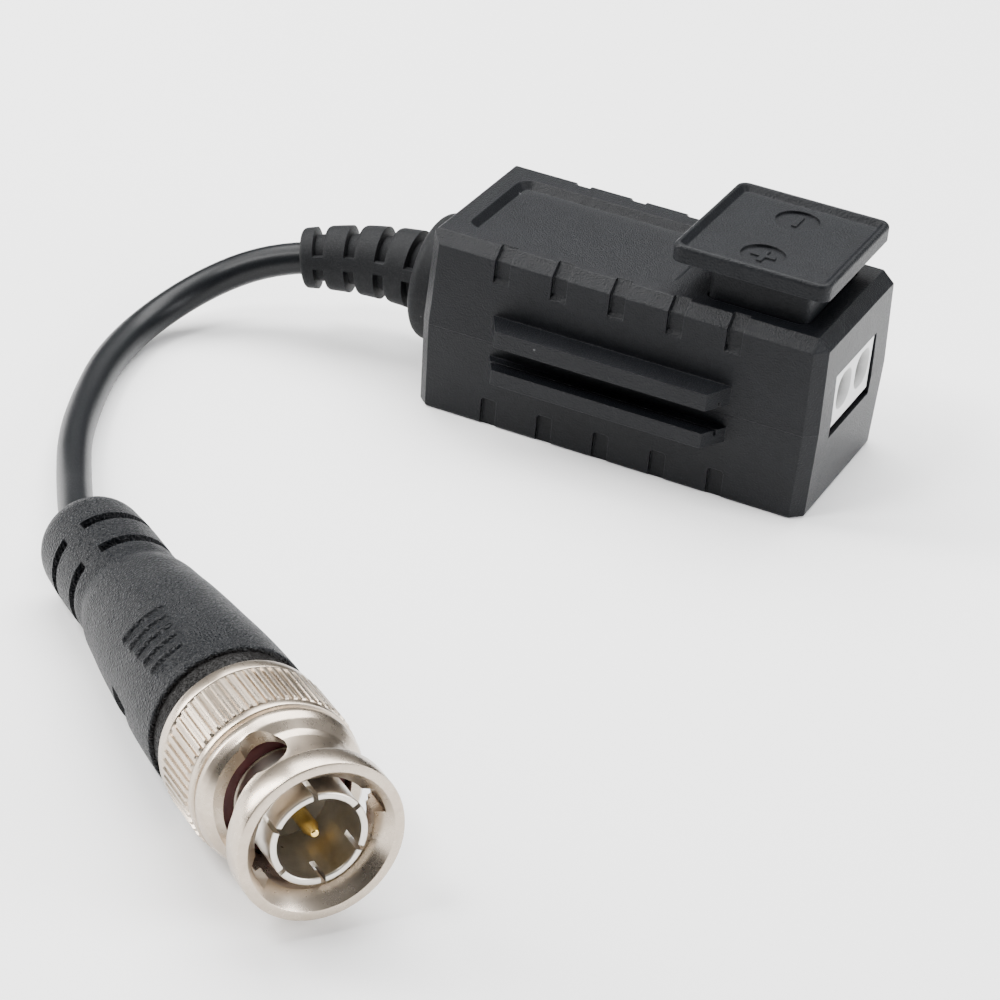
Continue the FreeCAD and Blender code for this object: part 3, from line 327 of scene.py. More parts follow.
def makeTurningMarks():
    # fine tool lines round the local Z axis, with pits and a slow tarnish
    group, start, end = newGroup(
        "turningMarks",
        [("Position", "NodeSocketVector", None), ("Lines per mm", "NodeSocketFloat", 14.0),
         ("Pits per mm", "NodeSocketFloat", 1.3)],
        [("Height", "NodeSocketFloat"), ("Tarnish", "NodeSocketFloat"), ("Pits", "NodeSocketFloat")])
    position = start.outputs["Position"]
    split = addNode(group, "ShaderNodeSeparateXYZ", {}, {0: position})
    square = mathNode(group, "ADD", mathNode(group, "MULTIPLY", split.outputs["X"], split.outputs["X"]),
                      mathNode(group, "MULTIPLY", split.outputs["Y"], split.outputs["Y"]))
    travel = mathNode(group, "MULTIPLY_ADD", mathNode(group, "SQRT", square), 1.7, split.outputs["Z"])
    sway = noiseNode(group, position, scale=0.5, detail=1.0)
    travel = mathNode(group, "MULTIPLY_ADD", sway.outputs["Fac"], 0.12, travel)
    lines = addNode(group, "ShaderNodeTexNoise", {"noise_dimensions": "1D"},
                    {"W": travel, "Scale": start.outputs["Lines per mm"], "Detail": 2.0, "Roughness": 0.7})
    slow = noiseNode(group, position, scale=0.28, detail=5.0, roughness=0.6)
    patches = noiseNode(group, position, scale=1.4, detail=4.0, roughness=0.65)
    chosen, distance = scatterCells(group, position, start.outputs["Pits per mm"], 0.12)
    pits = mathNode(group, "MULTIPLY", chosen, rangeNode(group, distance, 0.12, 0.04, smooth=True))
    group.links.new(mathNode(group, "SUBTRACT", lines.outputs["Fac"], pits), end.inputs["Height"])
    tarnish = mathNode(group, "MULTIPLY", slow.outputs["Fac"], patches.outputs["Fac"])
    group.links.new(tarnish, end.inputs["Tarnish"])
    group.links.new(pits, end.inputs["Pits"])
    return group


mouldGrain = makeMouldGrain()
leatherGrain = makeLeatherGrain()
edgeWearAndHighlight = makeEdgeWearAndHighlight()
dustSpecks = makeDustSpecks()
turningMarks = makeTurningMarks()


def placeGroup(tree, group, inputs):
    return addNode(tree, "ShaderNodeGroup", {"node_tree": group}, inputs)


def newMaterial(name, alongPlug=False):
    # the position comes in millimetres, in the world's frame or the plug's
    material = bpy.data.materials.new(name)
    material.use_nodes = True
    tree = material.node_tree
    coordinates = tree.nodes.new("ShaderNodeTexCoord")
    position = addNode(tree, "ShaderNodeVectorMath", {"operation": "SCALE"},
                       {0: coordinates.outputs["Object"], "Scale": 1 / millimetre})
    if alongPlug:
        position = addNode(tree, "ShaderNodeMapping", {"vector_type": "TEXTURE"},
                           {"Vector": position.outputs[0], "Location": plug["mouth"],
                            "Rotation": onPlug.to_euler()})
    return material, tree, tree.nodes["Principled BSDF"], position.outputs[0]


def mixColours(tree, mask, first, second):
    return addNode(tree, "ShaderNodeMix", {"data_type": "RGBA"}, {0: mask, 6: first, 7: second}).outputs[2]


def addBump(tree, shader, height, strength, distance, normal=None):
    bump = addNode(tree, "ShaderNodeBump", {}, {"Height": height, "Strength": strength, "Distance": distance})
    if normal is not None:
        tree.links.new(normal, bump.inputs["Normal"])
    tree.links.new(bump.outputs["Normal"], shader.inputs["Normal"])


# rims lightened towards the edge colour: partly wear, partly painted highlight; the pale specks are dust
def wornAndHighlitColour(tree, base, rimWearAndHighlight, dust, dustShare, look):
    edges = mathNode(tree, "MULTIPLY", rimWearAndHighlight.outputs["Edge"], look["rimWearAndHighlight"])
    specks = mathNode(tree, "MULTIPLY", dust.outputs["Mask"], dustShare)
    return mixColours(tree, specks, mixColours(tree, edges, base, look["edgeWearHighlightColour"]), look["dustColour"])


def mouldedPlastic(name, look):
    material, tree, shader, position = newMaterial(name)
    grain = placeGroup(tree, mouldGrain,
                       {"Position": position, "Grain per mm": look["grain"], "Unevenness": 0.3})
    rimWearAndHighlight = placeGroup(tree, edgeWearAndHighlight, {"Position": position, "Reach m": look["edge"], "Breakup per mm": 1.2})
    dust = placeGroup(tree, dustSpecks,
                      {"Position": position, "Specks per mm": look["specks"], "Share": look["dust"]})
    height = grain.outputs["Height"]
    base = rampNode(tree, grain.outputs["Mottle"], (0.3, look["dark"]), (0.7, look["light"]))
    feed(tree, shader, {
        "Base Color": wornAndHighlitColour(tree, base, rimWearAndHighlight, dust, 0.5, look),
        "Roughness": rangeNode(tree, height, 0.0, 1.0, look["rough"] + 0.06, look["rough"] - 0.06),
        "Specular IOR Level": look["specular"]})
    addBump(tree, shader, height, look["bump"], look["depth"], rimWearAndHighlight.outputs["Rounded Normal"])
    return material


def softVinyl(name, look):
    material, tree, shader, position = newMaterial(name, "bandToneAndShadow" in look)
    grain = placeGroup(tree, leatherGrain,
                       {"Position": position, "Cells per mm": look["cells"], "Crease": look["crease"]})
    rimWearAndHighlight = placeGroup(tree, edgeWearAndHighlight, {"Position": position, "Reach m": look["edge"], "Breakup per mm": 0.9})
    dust = placeGroup(tree, dustSpecks, {"Position": position, "Specks per mm": 0.9, "Share": look["dust"]})
    height = grain.outputs["Height"]
    base = rampNode(tree, grain.outputs["Mottle"], (0.35, look["dark"]), (0.65, look["light"]))
    # painted shade: the grain's creases are coloured darker
    creaseShaded = mixColours(tree, height, look["creaseShadeColour"], base)
    colour = wornAndHighlitColour(tree, creaseShaded, rimWearAndHighlight, dust, 0.45, look)
    if "bandToneAndShadow" in look:
        # the plain band ahead of the grip is painted darker and browner: partly its own tone, partly painted
        # shadow cast by the grip's edge
        along = addNode(tree, "ShaderNodeSeparateXYZ", {}, {0: position}).outputs["Z"]
        ahead = rangeNode(tree, along, look["bandEnd"] + 0.04, look["bandEnd"] - 0.04)
        colour = mixColours(tree, ahead, colour, look["bandToneAndShadow"])
    feed(tree, shader, {
        "Base Color": colour,
        "Roughness": rangeNode(tree, height, 0.0, 1.0, look["rough"] + 0.1, look["rough"]),
        "Specular IOR Level": look["specular"]})
    addBump(tree, shader, height, look["bump"], look["depth"])
    return material


def turnedMetal(name, look, alongPlug=True):
    material, tree, shader, position = newMaterial(name, alongPlug)
    marks = placeGroup(tree, turningMarks,
                       {"Position": position, "Lines per mm": look["lines"], "Pits per mm": look["pits"]})
    tarnish = marks.outputs["Tarnish"]
    base = rampNode(tree, tarnish, (0.1, look["light"]), (0.5, look["dark"]))
    feed(tree, shader, {
        "Base Color": mixColours(tree, marks.outputs["Pits"], base, look["pitColour"]),
        "Roughness": rangeNode(tree, tarnish, 0.1, 0.45, look["rough"], look["rough"] + look["roughSpread"]),
        "Metallic": 1.0})
    addBump(tree, shader, marks.outputs["Height"], look["bump"], look["depth"])
    return material


def plainMoulding(name, look):
    # smooth moulded or fired material: slight mottling and a soft skin
    material, tree, shader, position = newMaterial(name)
    grain = placeGroup(tree, mouldGrain,
                       {"Position": position, "Grain per mm": look["grain"], "Unevenness": 0.8})
    mottle = grain.outputs["Mottle"]
    base = rampNode(tree, mottle, (0.3, look["dark"]), (0.7, look["light"]))
    if "shade" in look:
        # painted shade: ambient occlusion darkens the colour in deep openings and close to other surfaces
        hollow = addNode(tree, "ShaderNodeAmbientOcclusion", {"samples": 8}, {"Distance": look["shadeReach"]})
        openness = rangeNode(tree, hollow.outputs["AO"], 0.5, 0.95, smooth=True)
        base = mixColours(tree, openness, look["shade"], base)
    feed(tree, shader, {
        "Base Color": base,
        "Roughness": rangeNode(tree, mottle, 0.3, 0.7, look["rough"], look["rough"] + 0.12),
        "Metallic": look.get("metallic", 0.0),
        "Subsurface Weight": look.get("subsurface", 0.0),
        "Subsurface Radius": (0.0012, 0.001, 0.0008),
        "Subsurface Scale": 1.0})
    rimWearAndHighlight = placeGroup(tree, edgeWearAndHighlight,
                      {"Position": position, "Reach m": look.get("edge", 0.00008), "Breakup per mm": 1.0})
    addBump(tree, shader, grain.outputs["Height"], look["bump"], 0.00002, rimWearAndHighlight.outputs["Rounded Normal"])
    return material


shellLook = {
    "dark": (0.0035, 0.004, 0.0052, 1), "light": (0.005, 0.0056, 0.007, 1),
    "edgeWearHighlightColour": (0.03, 0.031, 0.034, 1), "dustColour": (0.12, 0.12, 0.125, 1), "grain": 6.5, "specks": 0.45,
    "dust": 0.03, "edge": 0.00014, "rimWearAndHighlight": 0.6, "rough": 0.36, "specular": 0.16, "bump": 0.9, "depth": 0.00005,
}
buttonLook = dict(shellLook, dark=(0.0045, 0.005, 0.0062, 1), light=(0.006, 0.0068, 0.0082, 1), grain=5.0,
                  edge=0.0002, rough=0.42, specular=0.13, depth=0.00006)
plugBootLook = {
    "dark": (0.0042, 0.0052, 0.007, 1), "light": (0.006, 0.0072, 0.0096, 1),
    "creaseShadeColour": (0.002, 0.0025, 0.0034, 1), "edgeWearHighlightColour": (0.03, 0.032, 0.036, 1),
    "dustColour": (0.1, 0.1, 0.1, 1), "cells": 2.9, "crease": 0.42, "edge": 0.0001, "rimWearAndHighlight": 0.35, "dust": 0.02,
    "rough": 0.38, "specular": 0.16, "bump": 1.0, "depth": 0.0001,
}
bandedBootLook = dict(plugBootLook, bandToneAndShadow=(0.0022, 0.0018, 0.0015, 1), bandEnd=18.8)
housingBootLook = dict(plugBootLook, dark=(0.0105, 0.011, 0.012, 1), light=(0.0145, 0.015, 0.016, 1), cells=7.5,
                       crease=0.45, bump=0.3, depth=0.00003, rough=0.56)
jacketLook = dict(plugBootLook, dark=(0.006, 0.0072, 0.009, 1), light=(0.008, 0.0092, 0.0112, 1), cells=5.0,
                  crease=0.6, bump=0.12, depth=0.00003, rough=0.3, specular=0.22)
nickelLook = {
    "light": (0.52, 0.445, 0.362, 1), "dark": (0.4, 0.332, 0.26, 1), "pitColour": (0.2, 0.165, 0.13, 1),
    "lines": 5.0, "pits": 0.7, "rough": 0.25, "roughSpread": 0.08, "bump": 0.1, "depth": 0.00001,
}
sleeveLook = dict(nickelLook, light=(0.66, 0.62, 0.56, 1), dark=(0.55, 0.51, 0.45, 1), rough=0.3, bump=0.06)
goldLook = dict(nickelLook, light=(0.86, 0.62, 0.2, 1), dark=(0.7, 0.47, 0.13, 1),
                pitColour=(0.4, 0.26, 0.08, 1), lines=20.0, rough=0.2)
steelLook = dict(nickelLook, light=(0.62, 0.62, 0.62, 1), dark=(0.5, 0.5, 0.5, 1), rough=0.26)
brassLook = dict(nickelLook, light=(0.72, 0.62, 0.4, 1), dark=(0.6, 0.5, 0.3, 1), rough=0.28)


def moulding(dark, light, grain, rough, bump, **more):
    return dict(more, dark=(*dark, 1), light=(*light, 1), grain=grain, rough=rough, bump=bump)


nylonLook = moulding((0.6, 0.605, 0.6), (0.66, 0.665, 0.66), 3.0, 0.34, 0.15, edge=0.00015,
                     shade=(0.075, 0.072, 0.064, 1), shadeReach=0.003)
gasketLook = moulding((0.05, 0.006, 0.008), (0.075, 0.01, 0.011), 5.0, 0.45, 0.2)
ferriteLook = moulding((0.05, 0.05, 0.055), (0.09, 0.09, 0.095), 6.0, 0.7, 0.4)
boardLook = moulding((0.01, 0.07, 0.025), (0.015, 0.1, 0.035), 4.0, 0.35, 0.15)
enamelLook = moulding((0.3, 0.09, 0.03), (0.42, 0.14, 0.05), 4.0, 0.22, 0.1, metallic=0.6)
epoxyLook = moulding((0.012, 0.012, 0.012), (0.02, 0.02, 0.02), 6.0, 0.4, 0.3)
ceramicLook = moulding((0.3, 0.2, 0.11), (0.4, 0.28, 0.16), 6.0, 0.55, 0.3)
# painted shade: the insulator gets a dark taupe for the shade inside the plug, in place of its white
shadedInsulatorLook = moulding((0.26, 0.24, 0.2), (0.34, 0.31, 0.26), 3.0, 0.4, 0.15, subsurface=0.15)

finishes = {
    "shell_black": mouldedPlastic("shellBlack", shellLook),
    "button_black": mouldedPlastic("buttonBlack", buttonLook),
    "boot_black": softVinyl("plugBootVinyl", bandedBootLook),
    "cable_black": softVinyl("cableJacket", jacketLook),
    "nylon_white": plainMoulding("whiteNylon", nylonLook),
    "spring_steel": turnedMetal("springSteel", steelLook),
    "contact_brass": turnedMetal("tinnedBrass", brassLook, False),
    "board_green": plainMoulding("boardGreen", boardLook),
    "ferrite_grey": plainMoulding("ferrite", ferriteLook),
    "copper_enamel": plainMoulding("enamelledCopper", enamelLook),
    "part_black": plainMoulding("blackEpoxy", epoxyLook),
    "ceramic_tan": plainMoulding("tanCeramic", ceramicLook),
    "plug_nickel": turnedMetal("turnedNickel", nickelLook),
    "dielectric_white": plainMoulding("dielectric", shadedInsulatorLook),
    "pin_gold": turnedMetal("goldPlate", goldLook),
    "gasket_red": plainMoulding("redSilicone", gasketLook),
}
housingBootVinyl = softVinyl("housingBootVinyl", housingBootLook)
sleeveNickel = turnedMetal("sleeveNickel", sleeveLook)
print("materials made:", len(bpy.data.materials))


def wearFinish(piece, material):
    piece.data.materials.clear()
    piece.data.materials.append(material)


for part in frame["record"]["subparts"]:
    wearFinish(nodes[part["node"]], finishes[part["material_slot"]])


# coaxial cable
cable = {
    "diameter": 3.25, "length": 66.85, "resolution": 24, "bevelResolution": 8, "order": 3,
    "route": [
        (-37.527, -2.199, 7.790), (-40.918, -3.367, 7.116), (-46.04, -6.58, 4.37), (-49.18, -13.41, 1.75),
        (-48.09, -22.65, 1.68), (-45.36, -30.91, 1.73), (-41.95, -38.68, 2.3), (-37.95, -45.3, 2.75),
        (-33.6, -52.1, 4.0), (-31.17, -55.553, 4.523), (-29.469, -56.940, 4.678),
    ],
}


def buildCable():
    curve = bpy.data.curves.new("coaxCable", "CURVE")
    curve.dimensions = "3D"
    curve.resolution_u = cable["resolution"]
    curve.bevel_depth = cable["diameter"] / 2 * millimetre
    curve.bevel_resolution = cable["bevelResolution"]
    curve.use_fill_caps = True
    spline = curve.splines.new("NURBS")
    spline.points.add(len(cable["route"]) - 1)
    for point, place in zip(spline.points, cable["route"]):
        point.co = (*(Vector(place) * millimetre), 1)
    spline.order_u = cable["order"]
    spline.use_endpoint_u = True
    piece = bpy.data.objects.new("coaxCable", curve)
    bpy.context.scene.collection.objects.link(piece)
    wearFinish(piece, finishes["cable_black"])
    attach(piece, "housing")
    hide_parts("coax_cable")
    return piece


coaxCable = buildCable()
print("cable laid")

# coupling nut
nut = {
    "neck": 5.95, "bore": 4.9, "relief": 5.35, "end": 16.7,
    "teeth": 60, "stepsPerTooth": 10, "knurlFrom": 9.95, "knurlTo": 15.0, "root": 6.98, "crest": 7.25,
    "toothRise": (0.0, 0.12), "toothFall": (0.48, 0.62), "knurlBevel": 0.15, "knurlDrop": 0.1,
    "slotWidth": 3.05, "slotFromRoll": -26.0, "slotToRoll": 62.0, "slotFromS": 4.9, "slotToS": 5.6,
    "slotSteps": 14, "climbShare": 0.84, "slotRoundSteps": 16, "slotInside": 0.6, "slotOutside": 0.9,
    "lugWidth": 2.5, "lugRadius": 5.62, "lugFrom": -0.6, "lugEnd": 4.6, "lugSteps": 6,
    "seatRadius": 1.95, "seatSides": 46, "seatShift": 0.37, "seatInside": 0.75, "seatOutside": 1.1,
}


def knurlRadius(s, radius, angle):
    if not nut["knurlFrom"] - 0.02 <= s <= nut["knurlTo"] + 0.02 or radius < nut["root"] - 0.06:
        return radius
    phase = (angle / (2 * math.pi) * nut["teeth"]) % 1.0
    rise = smoothStep(*nut["toothRise"], phase) * (1 - smoothStep(*nut["toothFall"], phase))
    return nut["root"] + (radius - nut["root"]) * rise


def slotPath():
    # (run round the neck, distance from the mouth): climbs, then stays level up to the seat
    steps = nut["slotSteps"]
    levelRoll = nut["slotFromRoll"] + nut["climbShare"] * (nut["slotToRoll"] - nut["slotFromRoll"])
    path = []
    for index in range(steps + 1):
        share = index / steps
        ease = math.sin(share * math.pi / 2)
        roll = nut["slotFromRoll"] + share * (levelRoll - nut["slotFromRoll"])
        path.append((math.radians(roll) * nut["neck"],
                     nut["slotFromS"] + (nut["slotToS"] - nut["slotFromS"]) * ease))
    path.append((math.radians(nut["slotToRoll"]) * nut["neck"], nut["slotToS"]))
    return path


def slotCutter(halfTurn):
    path = slotPath()
    half = nut["slotWidth"] / 2
    left, right, headings = [], [], []
    for index, (run, s) in enumerate(path):
        before = path[max(index - 1, 0)]
        after = path[min(index + 1, len(path) - 1)]
        heading = math.atan2(after[1] - before[1], after[0] - before[0])
        headings.append(heading)
        left.append((run - half * math.sin(heading), s + half * math.cos(heading)))
        right.append((run + half * math.sin(heading), s - half * math.cos(heading)))
    roundSteps = nut["slotRoundSteps"]
    ends = []
    for centre, first in ((path[-1], headings[-1] + math.pi / 2), (path[0], headings[0] - math.pi / 2)):
        turns = [first - math.pi * step / roundSteps for step in range(1, roundSteps)]
        ends.append([(centre[0] + half * math.cos(turn), centre[1] + half * math.sin(turn)) for turn in turns])
    outline = left + ends[0] + right[::-1] + ends[1]
    count = len(outline)
    vertices = []
    for radius in (nut["bore"] - nut["slotInside"], nut["crest"] + nut["slotOutside"]):
        for run, s in outline:
            angle = run / nut["neck"] + math.radians(halfTurn)
            vertices.append((radius * math.cos(angle), radius * math.sin(angle), s))
    faces = prismFaces(count, False)
    steps = len(left)
    place = {}
    for index in range(steps):
        place[("left", index)] = index
        place[("right", index)] = steps + len(ends[0]) + steps - 1 - index
    for offset in (0, count):
        for index in range(steps - 1):
            faces.append((place[("left", index)] + offset, place[("left", index + 1)] + offset,
                          place[("right", index + 1)] + offset, place[("right", index)] + offset))
        farEnd = list(range(steps - 1, steps + len(ends[0]) + 1))
        faces.append([index + offset for index in farEnd])
        nearEnd = list(range(steps + len(ends[0]) + steps - 1, count)) + [0]
        faces.append([index + offset for index in nearEnd])
    return addPiece("slotCutter", vertices, faces, onPlug)


def lugCutter(halfTurn):
    # straight groove from the mouth to the slot's start
    half = nut["lugWidth"] / 2
    steps = nut["lugSteps"]
    reach = math.asin(half / nut["lugRadius"])
    outline = [(0.0, -half)]
    for index in range(steps + 1):
        angle = -reach + 2 * reach * index / steps
        outline.append((nut["lugRadius"] * math.cos(angle), nut["lugRadius"] * math.sin(angle)))
    outline.append((0.0, half))
    turn = Matrix.Rotation(math.radians(nut["slotFromRoll"] + halfTurn), 3, "Z")
    vertices = [turn @ Vector((x, y, s)) for s in (nut["lugFrom"], nut["lugEnd"]) for x, y in outline]
    return addPiece("lugCutter", vertices, prismFaces(len(outline)), onPlug)


def seatCutter(halfTurn):
    # round seat at the slot's end, where the stud comes to rest
    sides = nut["seatSides"]
    turn = Matrix.Rotation(math.radians(nut["slotToRoll"] + halfTurn), 3, "Z")
    vertices = []
    for reach in (nut["bore"] - nut["seatInside"], nut["crest"] + nut["seatOutside"]):
        for index in range(sides):
            angle = 2 * math.pi * (index + nut["seatShift"]) / sides
            vertices.append(turn @ Vector((reach, nut["seatRadius"] * math.cos(angle),
                                           nut["slotToS"] + nut["seatRadius"] * math.sin(angle))))
    return addPiece("seatCutter", vertices, prismFaces(sides), onPlug)


def buildNut():
    crest, bevel, drop = nut["crest"], nut["knurlBevel"], nut["knurlDrop"]
    outline = [
        (1.45, 4.9, 0.1), (0.0, 6.07, 0.08), (0.0, 6.92, 0.2), (2.5, 6.92, 0.35), (2.62, 5.95, 0.35),
        (6.1, 5.95, 0.5), (6.75, 6.1, 0.5), (7.5, 6.72, 0.6), (8.2, 6.95, 0.4), (8.75, 6.95, 0.06),
        (8.8, 6.73, 0.05), (9.02, 6.73, 0.05), (9.06, 7.1, 0.1), (9.72, 7.1, 0.08), (9.88, 6.97, 0.03),
        (nut["knurlFrom"], crest - drop, 0), (nut["knurlFrom"] + bevel, crest, 0),
        (nut["knurlTo"] - bevel, crest, 0), (nut["knurlTo"], crest - drop, 0),
        (nut["knurlTo"] + 0.06, 6.97, 0.03), (nut["knurlTo"] + 0.2, 7.12, 0.1), (nut["end"] - 0.25, 7.1, 0.7),
        (nut["end"], 6.55, 0.15), (nut["end"], 4.9, 0.1), (13.6, 4.9, 0.0),
        (13.6, 6.05, 0.0), (9.25, 6.05, 0.0), (9.25, nut["relief"], 0.0), (3.0, nut["relief"], 0.0),
        (3.0, nut["bore"], 0.05),
    ]
    segments = nut["teeth"] * nut["stepsPerTooth"]
    vertices, faces = latheGrid(roundCorners(outline, True, 2), segments, True, knurlRadius)
    piece = addPiece("bayonetNut", vertices, faces, onPlug)
    cutWith(piece, [make(halfTurn) for make in (lugCutter, slotCutter, seatCutter) for halfTurn in (0, 180)])
    shadeSmooth(piece, 28)
    wearFinish(piece, finishes["plug_nickel"])
    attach(piece, "nut")
    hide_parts("coupling_nut")
    return piece


bayonetNut = buildNut()
print("coupling nut turned:", len(bayonetNut.data.polygons), "faces")

# plug body, pin and gasket
body = {
    "outline": [
        (0.5, 3.45, 0.16), (0.5, 4.05, 0.16), (7.6, 4.05, 0), (7.6, 4.15, 0), (8.6, 4.15, 0), (8.6, 5.2, 0),
        (9.3, 5.2, 0), (9.3, 5.9, 0.1), (10.9, 5.9, 0.1), (10.9, 4.8, 0), (20.6, 4.8, 0.1), (20.6, 2.3, 0),
        (27.0, 2.3, 0.1), (27.0, 1.15, 0), (15.5, 1.15, 0), (15.5, 3.45, 0),
    ],
    "segments": 144, "slits": 6, "slitWidth": 0.42, "slitFrom": -0.5, "slitEnd": 2.8, "slitInside": 2.5,
    "slitOutside": 4.9, "slitRoll": 23.0,
}


def slitCutter(index):
    half, inside, outside = body["slitWidth"] / 2, body["slitInside"], body["slitOutside"]
    turn = Matrix.Rotation(math.radians(body["slitRoll"] + 360 * index / body["slits"]), 3, "Z")
    vertices = [turn @ Vector((x, y, s)) for s in (body["slitFrom"], body["slitEnd"])
                for x, y in ((inside, -half), (outside, -half), (outside, half), (inside, half))]
    faces = [(0, 1, 2, 3), (4, 7, 6, 5), (0, 4, 5, 1), (1, 5, 6, 2), (2, 6, 7, 3), (3, 7, 4, 0)]
    return addPiece("slitCutter", vertices, faces, onPlug)


def buildBody():
    vertices, faces = latheGrid(roundCorners(body["outline"]), body["segments"])
    piece = addPiece("groundSleeve", vertices, faces, onPlug)
    cutWith(piece, [slitCutter(index) for index in range(body["slits"])])
    shadeSmooth(piece, 30)
    wearFinish(piece, sleeveNickel)
    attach(piece, "housing")
    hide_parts("plug_body")
    return piece


pin = {
    "outline": [(1.3, 0.0, 0), (1.3, 0.31, 0.24), (2.35, 0.675, 0.25), (7.0, 0.675, 0), (7.0, 1.0, 0),
                (15.5, 1.0, 0), (15.5, 0.0, 0)],
    "segments": 48,
}


def buildPin():
    vertices, faces = latheGrid(roundCorners(pin["outline"], False), pin["segments"], False)
    piece = addPiece("contactPin", vertices, faces, onPlug, 35, True)
    wearFinish(piece, finishes["pin_gold"])
    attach(piece, "housing")
    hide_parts("centre_pin")
    return piece


gasket = {
    "outline": [(7.62, 4.16, 0.1), (7.62, 5.19, 0.2), (8.58, 5.19, 0.2), (8.58, 4.16, 0.1)],
    "segments": 96,
}


def buildGasket():
    vertices, faces = latheGrid(roundCorners(gasket["outline"]), gasket["segments"])
    piece = addPiece("faceGasket", vertices, faces, onPlug)
    wearFinish(piece, finishes["gasket_red"])
    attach(piece, "housing")
    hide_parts("plug_gasket")
    return piece


groundSleeve = buildBody()
contactPin = buildPin()
faceGasket = buildGasket()
print("plug body, pin and gasket made")

# plug boot
plugBoot = {
    "profile": [(19.0, 6.96), (22.0, 6.88), (25.0, 6.72), (28.0, 6.48), (31.0, 6.25), (34.0, 5.98),
                (36.5, 5.68), (38.2, 5.5), (39.2, 5.3), (40.0, 5.03), (40.7, 4.9), (41.5, 4.93),
                (44.5, 4.95), (48.0, 4.93), (50.6, 4.8)],
    "inside": [(53.0, 2.0), (52.85, 1.625), (28.6, 1.625), (28.6, 2.95), (20.65, 2.95), (20.65, 4.85),
               (16.75, 4.85)],
    "start": 16.75, "bandEnd": 18.8, "band": 6.6, "end": 53.0, "tail": 3.7, "tailSteps": 8, "segments": 288,
    "core": 3.2, "web": 49.0, "webHalf": 12.5, "webFade": 1.5, "slots": [43.0, 47.5], "slotWidth": 1.0,
    "firstRidge": 22.1, "ridgePitch": 1.66, "ridgeWidth": 0.66, "ridgeRise": 0.27, "ridgeRoll": 1.5,
    "ridgeHalves": [16.0, 17.0, 18.5, 20.0, 21.0], "ridgeFade": 3, "ridgePower": 1.3,
    "pocketFrom": 25.2, "pocketTo": 28.8, "pocketHalf": 35.0, "pocketRoll": -41.0, "pocketDepth": 0.35,
    "edge": 0.06, "fineStep": 0.06, "coarseStep": 0.3, "fineFrom": 21.6, "fineTo": 29.2, "fineNearSlot": 0.75,
}


def angleFromWeb(degrees, offset=0.0):
    # smallest turn from either web
    turn = (degrees - plugBoot["web"] - offset) % 180
    return min(turn, 180 - turn)


def plugBootRadius(s, radius, angle):
    if radius < plugBoot["core"] + 0.2 or s > plugBoot["end"] - 0.4:
        return radius
    edge, fade = plugBoot["edge"], plugBoot["webFade"]
    off = angleFromWeb(math.degrees(angle))
    for position in plugBoot["slots"]:
        half = plugBoot["slotWidth"] / 2
        depth = (1 - smoothStep(half - edge, half + edge, abs(s - position)))
        depth *= smoothStep(plugBoot["webHalf"] - fade, plugBoot["webHalf"] + fade, off)
        radius -= (radius - plugBoot["core"]) * depth
    pocket = smoothStep(-edge, edge, min(s - plugBoot["pocketFrom"], plugBoot["pocketTo"] - s))
    aside = abs((math.degrees(angle) - plugBoot["pocketRoll"] + 180) % 360 - 180)
    pocket *= smoothStep(-1.0, 1.0, plugBoot["pocketHalf"] - aside)
    radius -= plugBoot["pocketDepth"] * pocket
    off = angleFromWeb(math.degrees(angle), plugBoot["ridgeRoll"])
    for index, ridgeHalf in enumerate(plugBoot["ridgeHalves"]):
        centre = plugBoot["firstRidge"] + index * plugBoot["ridgePitch"]
        across = (s - centre) / (plugBoot["ridgeWidth"] / 2)
        if abs(across) < 1:
            fall = smoothStep(ridgeHalf - plugBoot["ridgeFade"], ridgeHalf, off)
            rise = (1 - across * across) ** plugBoot["ridgePower"] * (1 - fall)
            radius += plugBoot["ridgeRise"] * rise
    return radius


def buildPlugBoot():
    start, bandEnd, band = plugBoot["start"], plugBoot["bandEnd"], plugBoot["band"]
    lastS, lastRadius = plugBoot["profile"][-1]
    stations = []
    s = bandEnd + 0.25
    while s < lastS:
        stations.append(s)
        nearSlot = any(abs(s - position) < plugBoot["fineNearSlot"] for position in plugBoot["slots"])
        fine = nearSlot or plugBoot["fineFrom"] <= s <= plugBoot["fineTo"]
        s += plugBoot["fineStep"] if fine else plugBoot["coarseStep"]
    outline = [(start, band - 0.1), (start + 0.1, band), (bandEnd - 0.5, band), (bandEnd - 0.04, band - 0.04),
               (bandEnd, 6.8), (bandEnd + 0.04, 6.88), (bandEnd + 0.12, 6.93)]
    outline += [(s, interpolate(plugBoot["profile"], s)) for s in stations]
    for index in range(plugBoot["tailSteps"] + 1):
        angle = math.radians(90 * index / plugBoot["tailSteps"])
        outline.append((lastS + (plugBoot["end"] - lastS) * math.sin(angle),
                        plugBoot["tail"] + (lastRadius - plugBoot["tail"]) * math.cos(angle)))
    vertices, faces = latheGrid(outline + plugBoot["inside"], plugBoot["segments"], True, plugBootRadius)
    piece = addPiece("plugGrip", vertices, faces, onPlug, 65)
    wearFinish(piece, finishes["boot_black"])
    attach(piece, "housing")
    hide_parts("plug_boot")
    return piece


plugGrip = buildPlugBoot()
print("plug boot moulded:", len(plugGrip.data.polygons), "faces")

# housing boot
housingBoot = {
    "faceX": -20.65, "centreZ": 9.06, "length": 13.6, "bend": 21.7, "roll": 30.0, "segments": 144,
    "flange": 6.5, "flangeLength": 3.6, "wall": 1.45, "neck": 4.0, "lip": 5.2, "lipLength": 1.2,
    "root": 4.1, "tip": 3.02, "coreRoot": 3.05, "coreTip": 2.25, "edge": 0.45, "bore": 1.625, "boreEdge": 0.12,
    "slots": 4, "slotPitch": 3.48, "slotWidth": 1.05, "slotEdge": 0.05, "fromTip": 2.0,
    "webHalf": 0.75, "webEdge": 0.08, "webRoll": 14.0, "softDepth": 0.28, "softLength": 0.5,
}


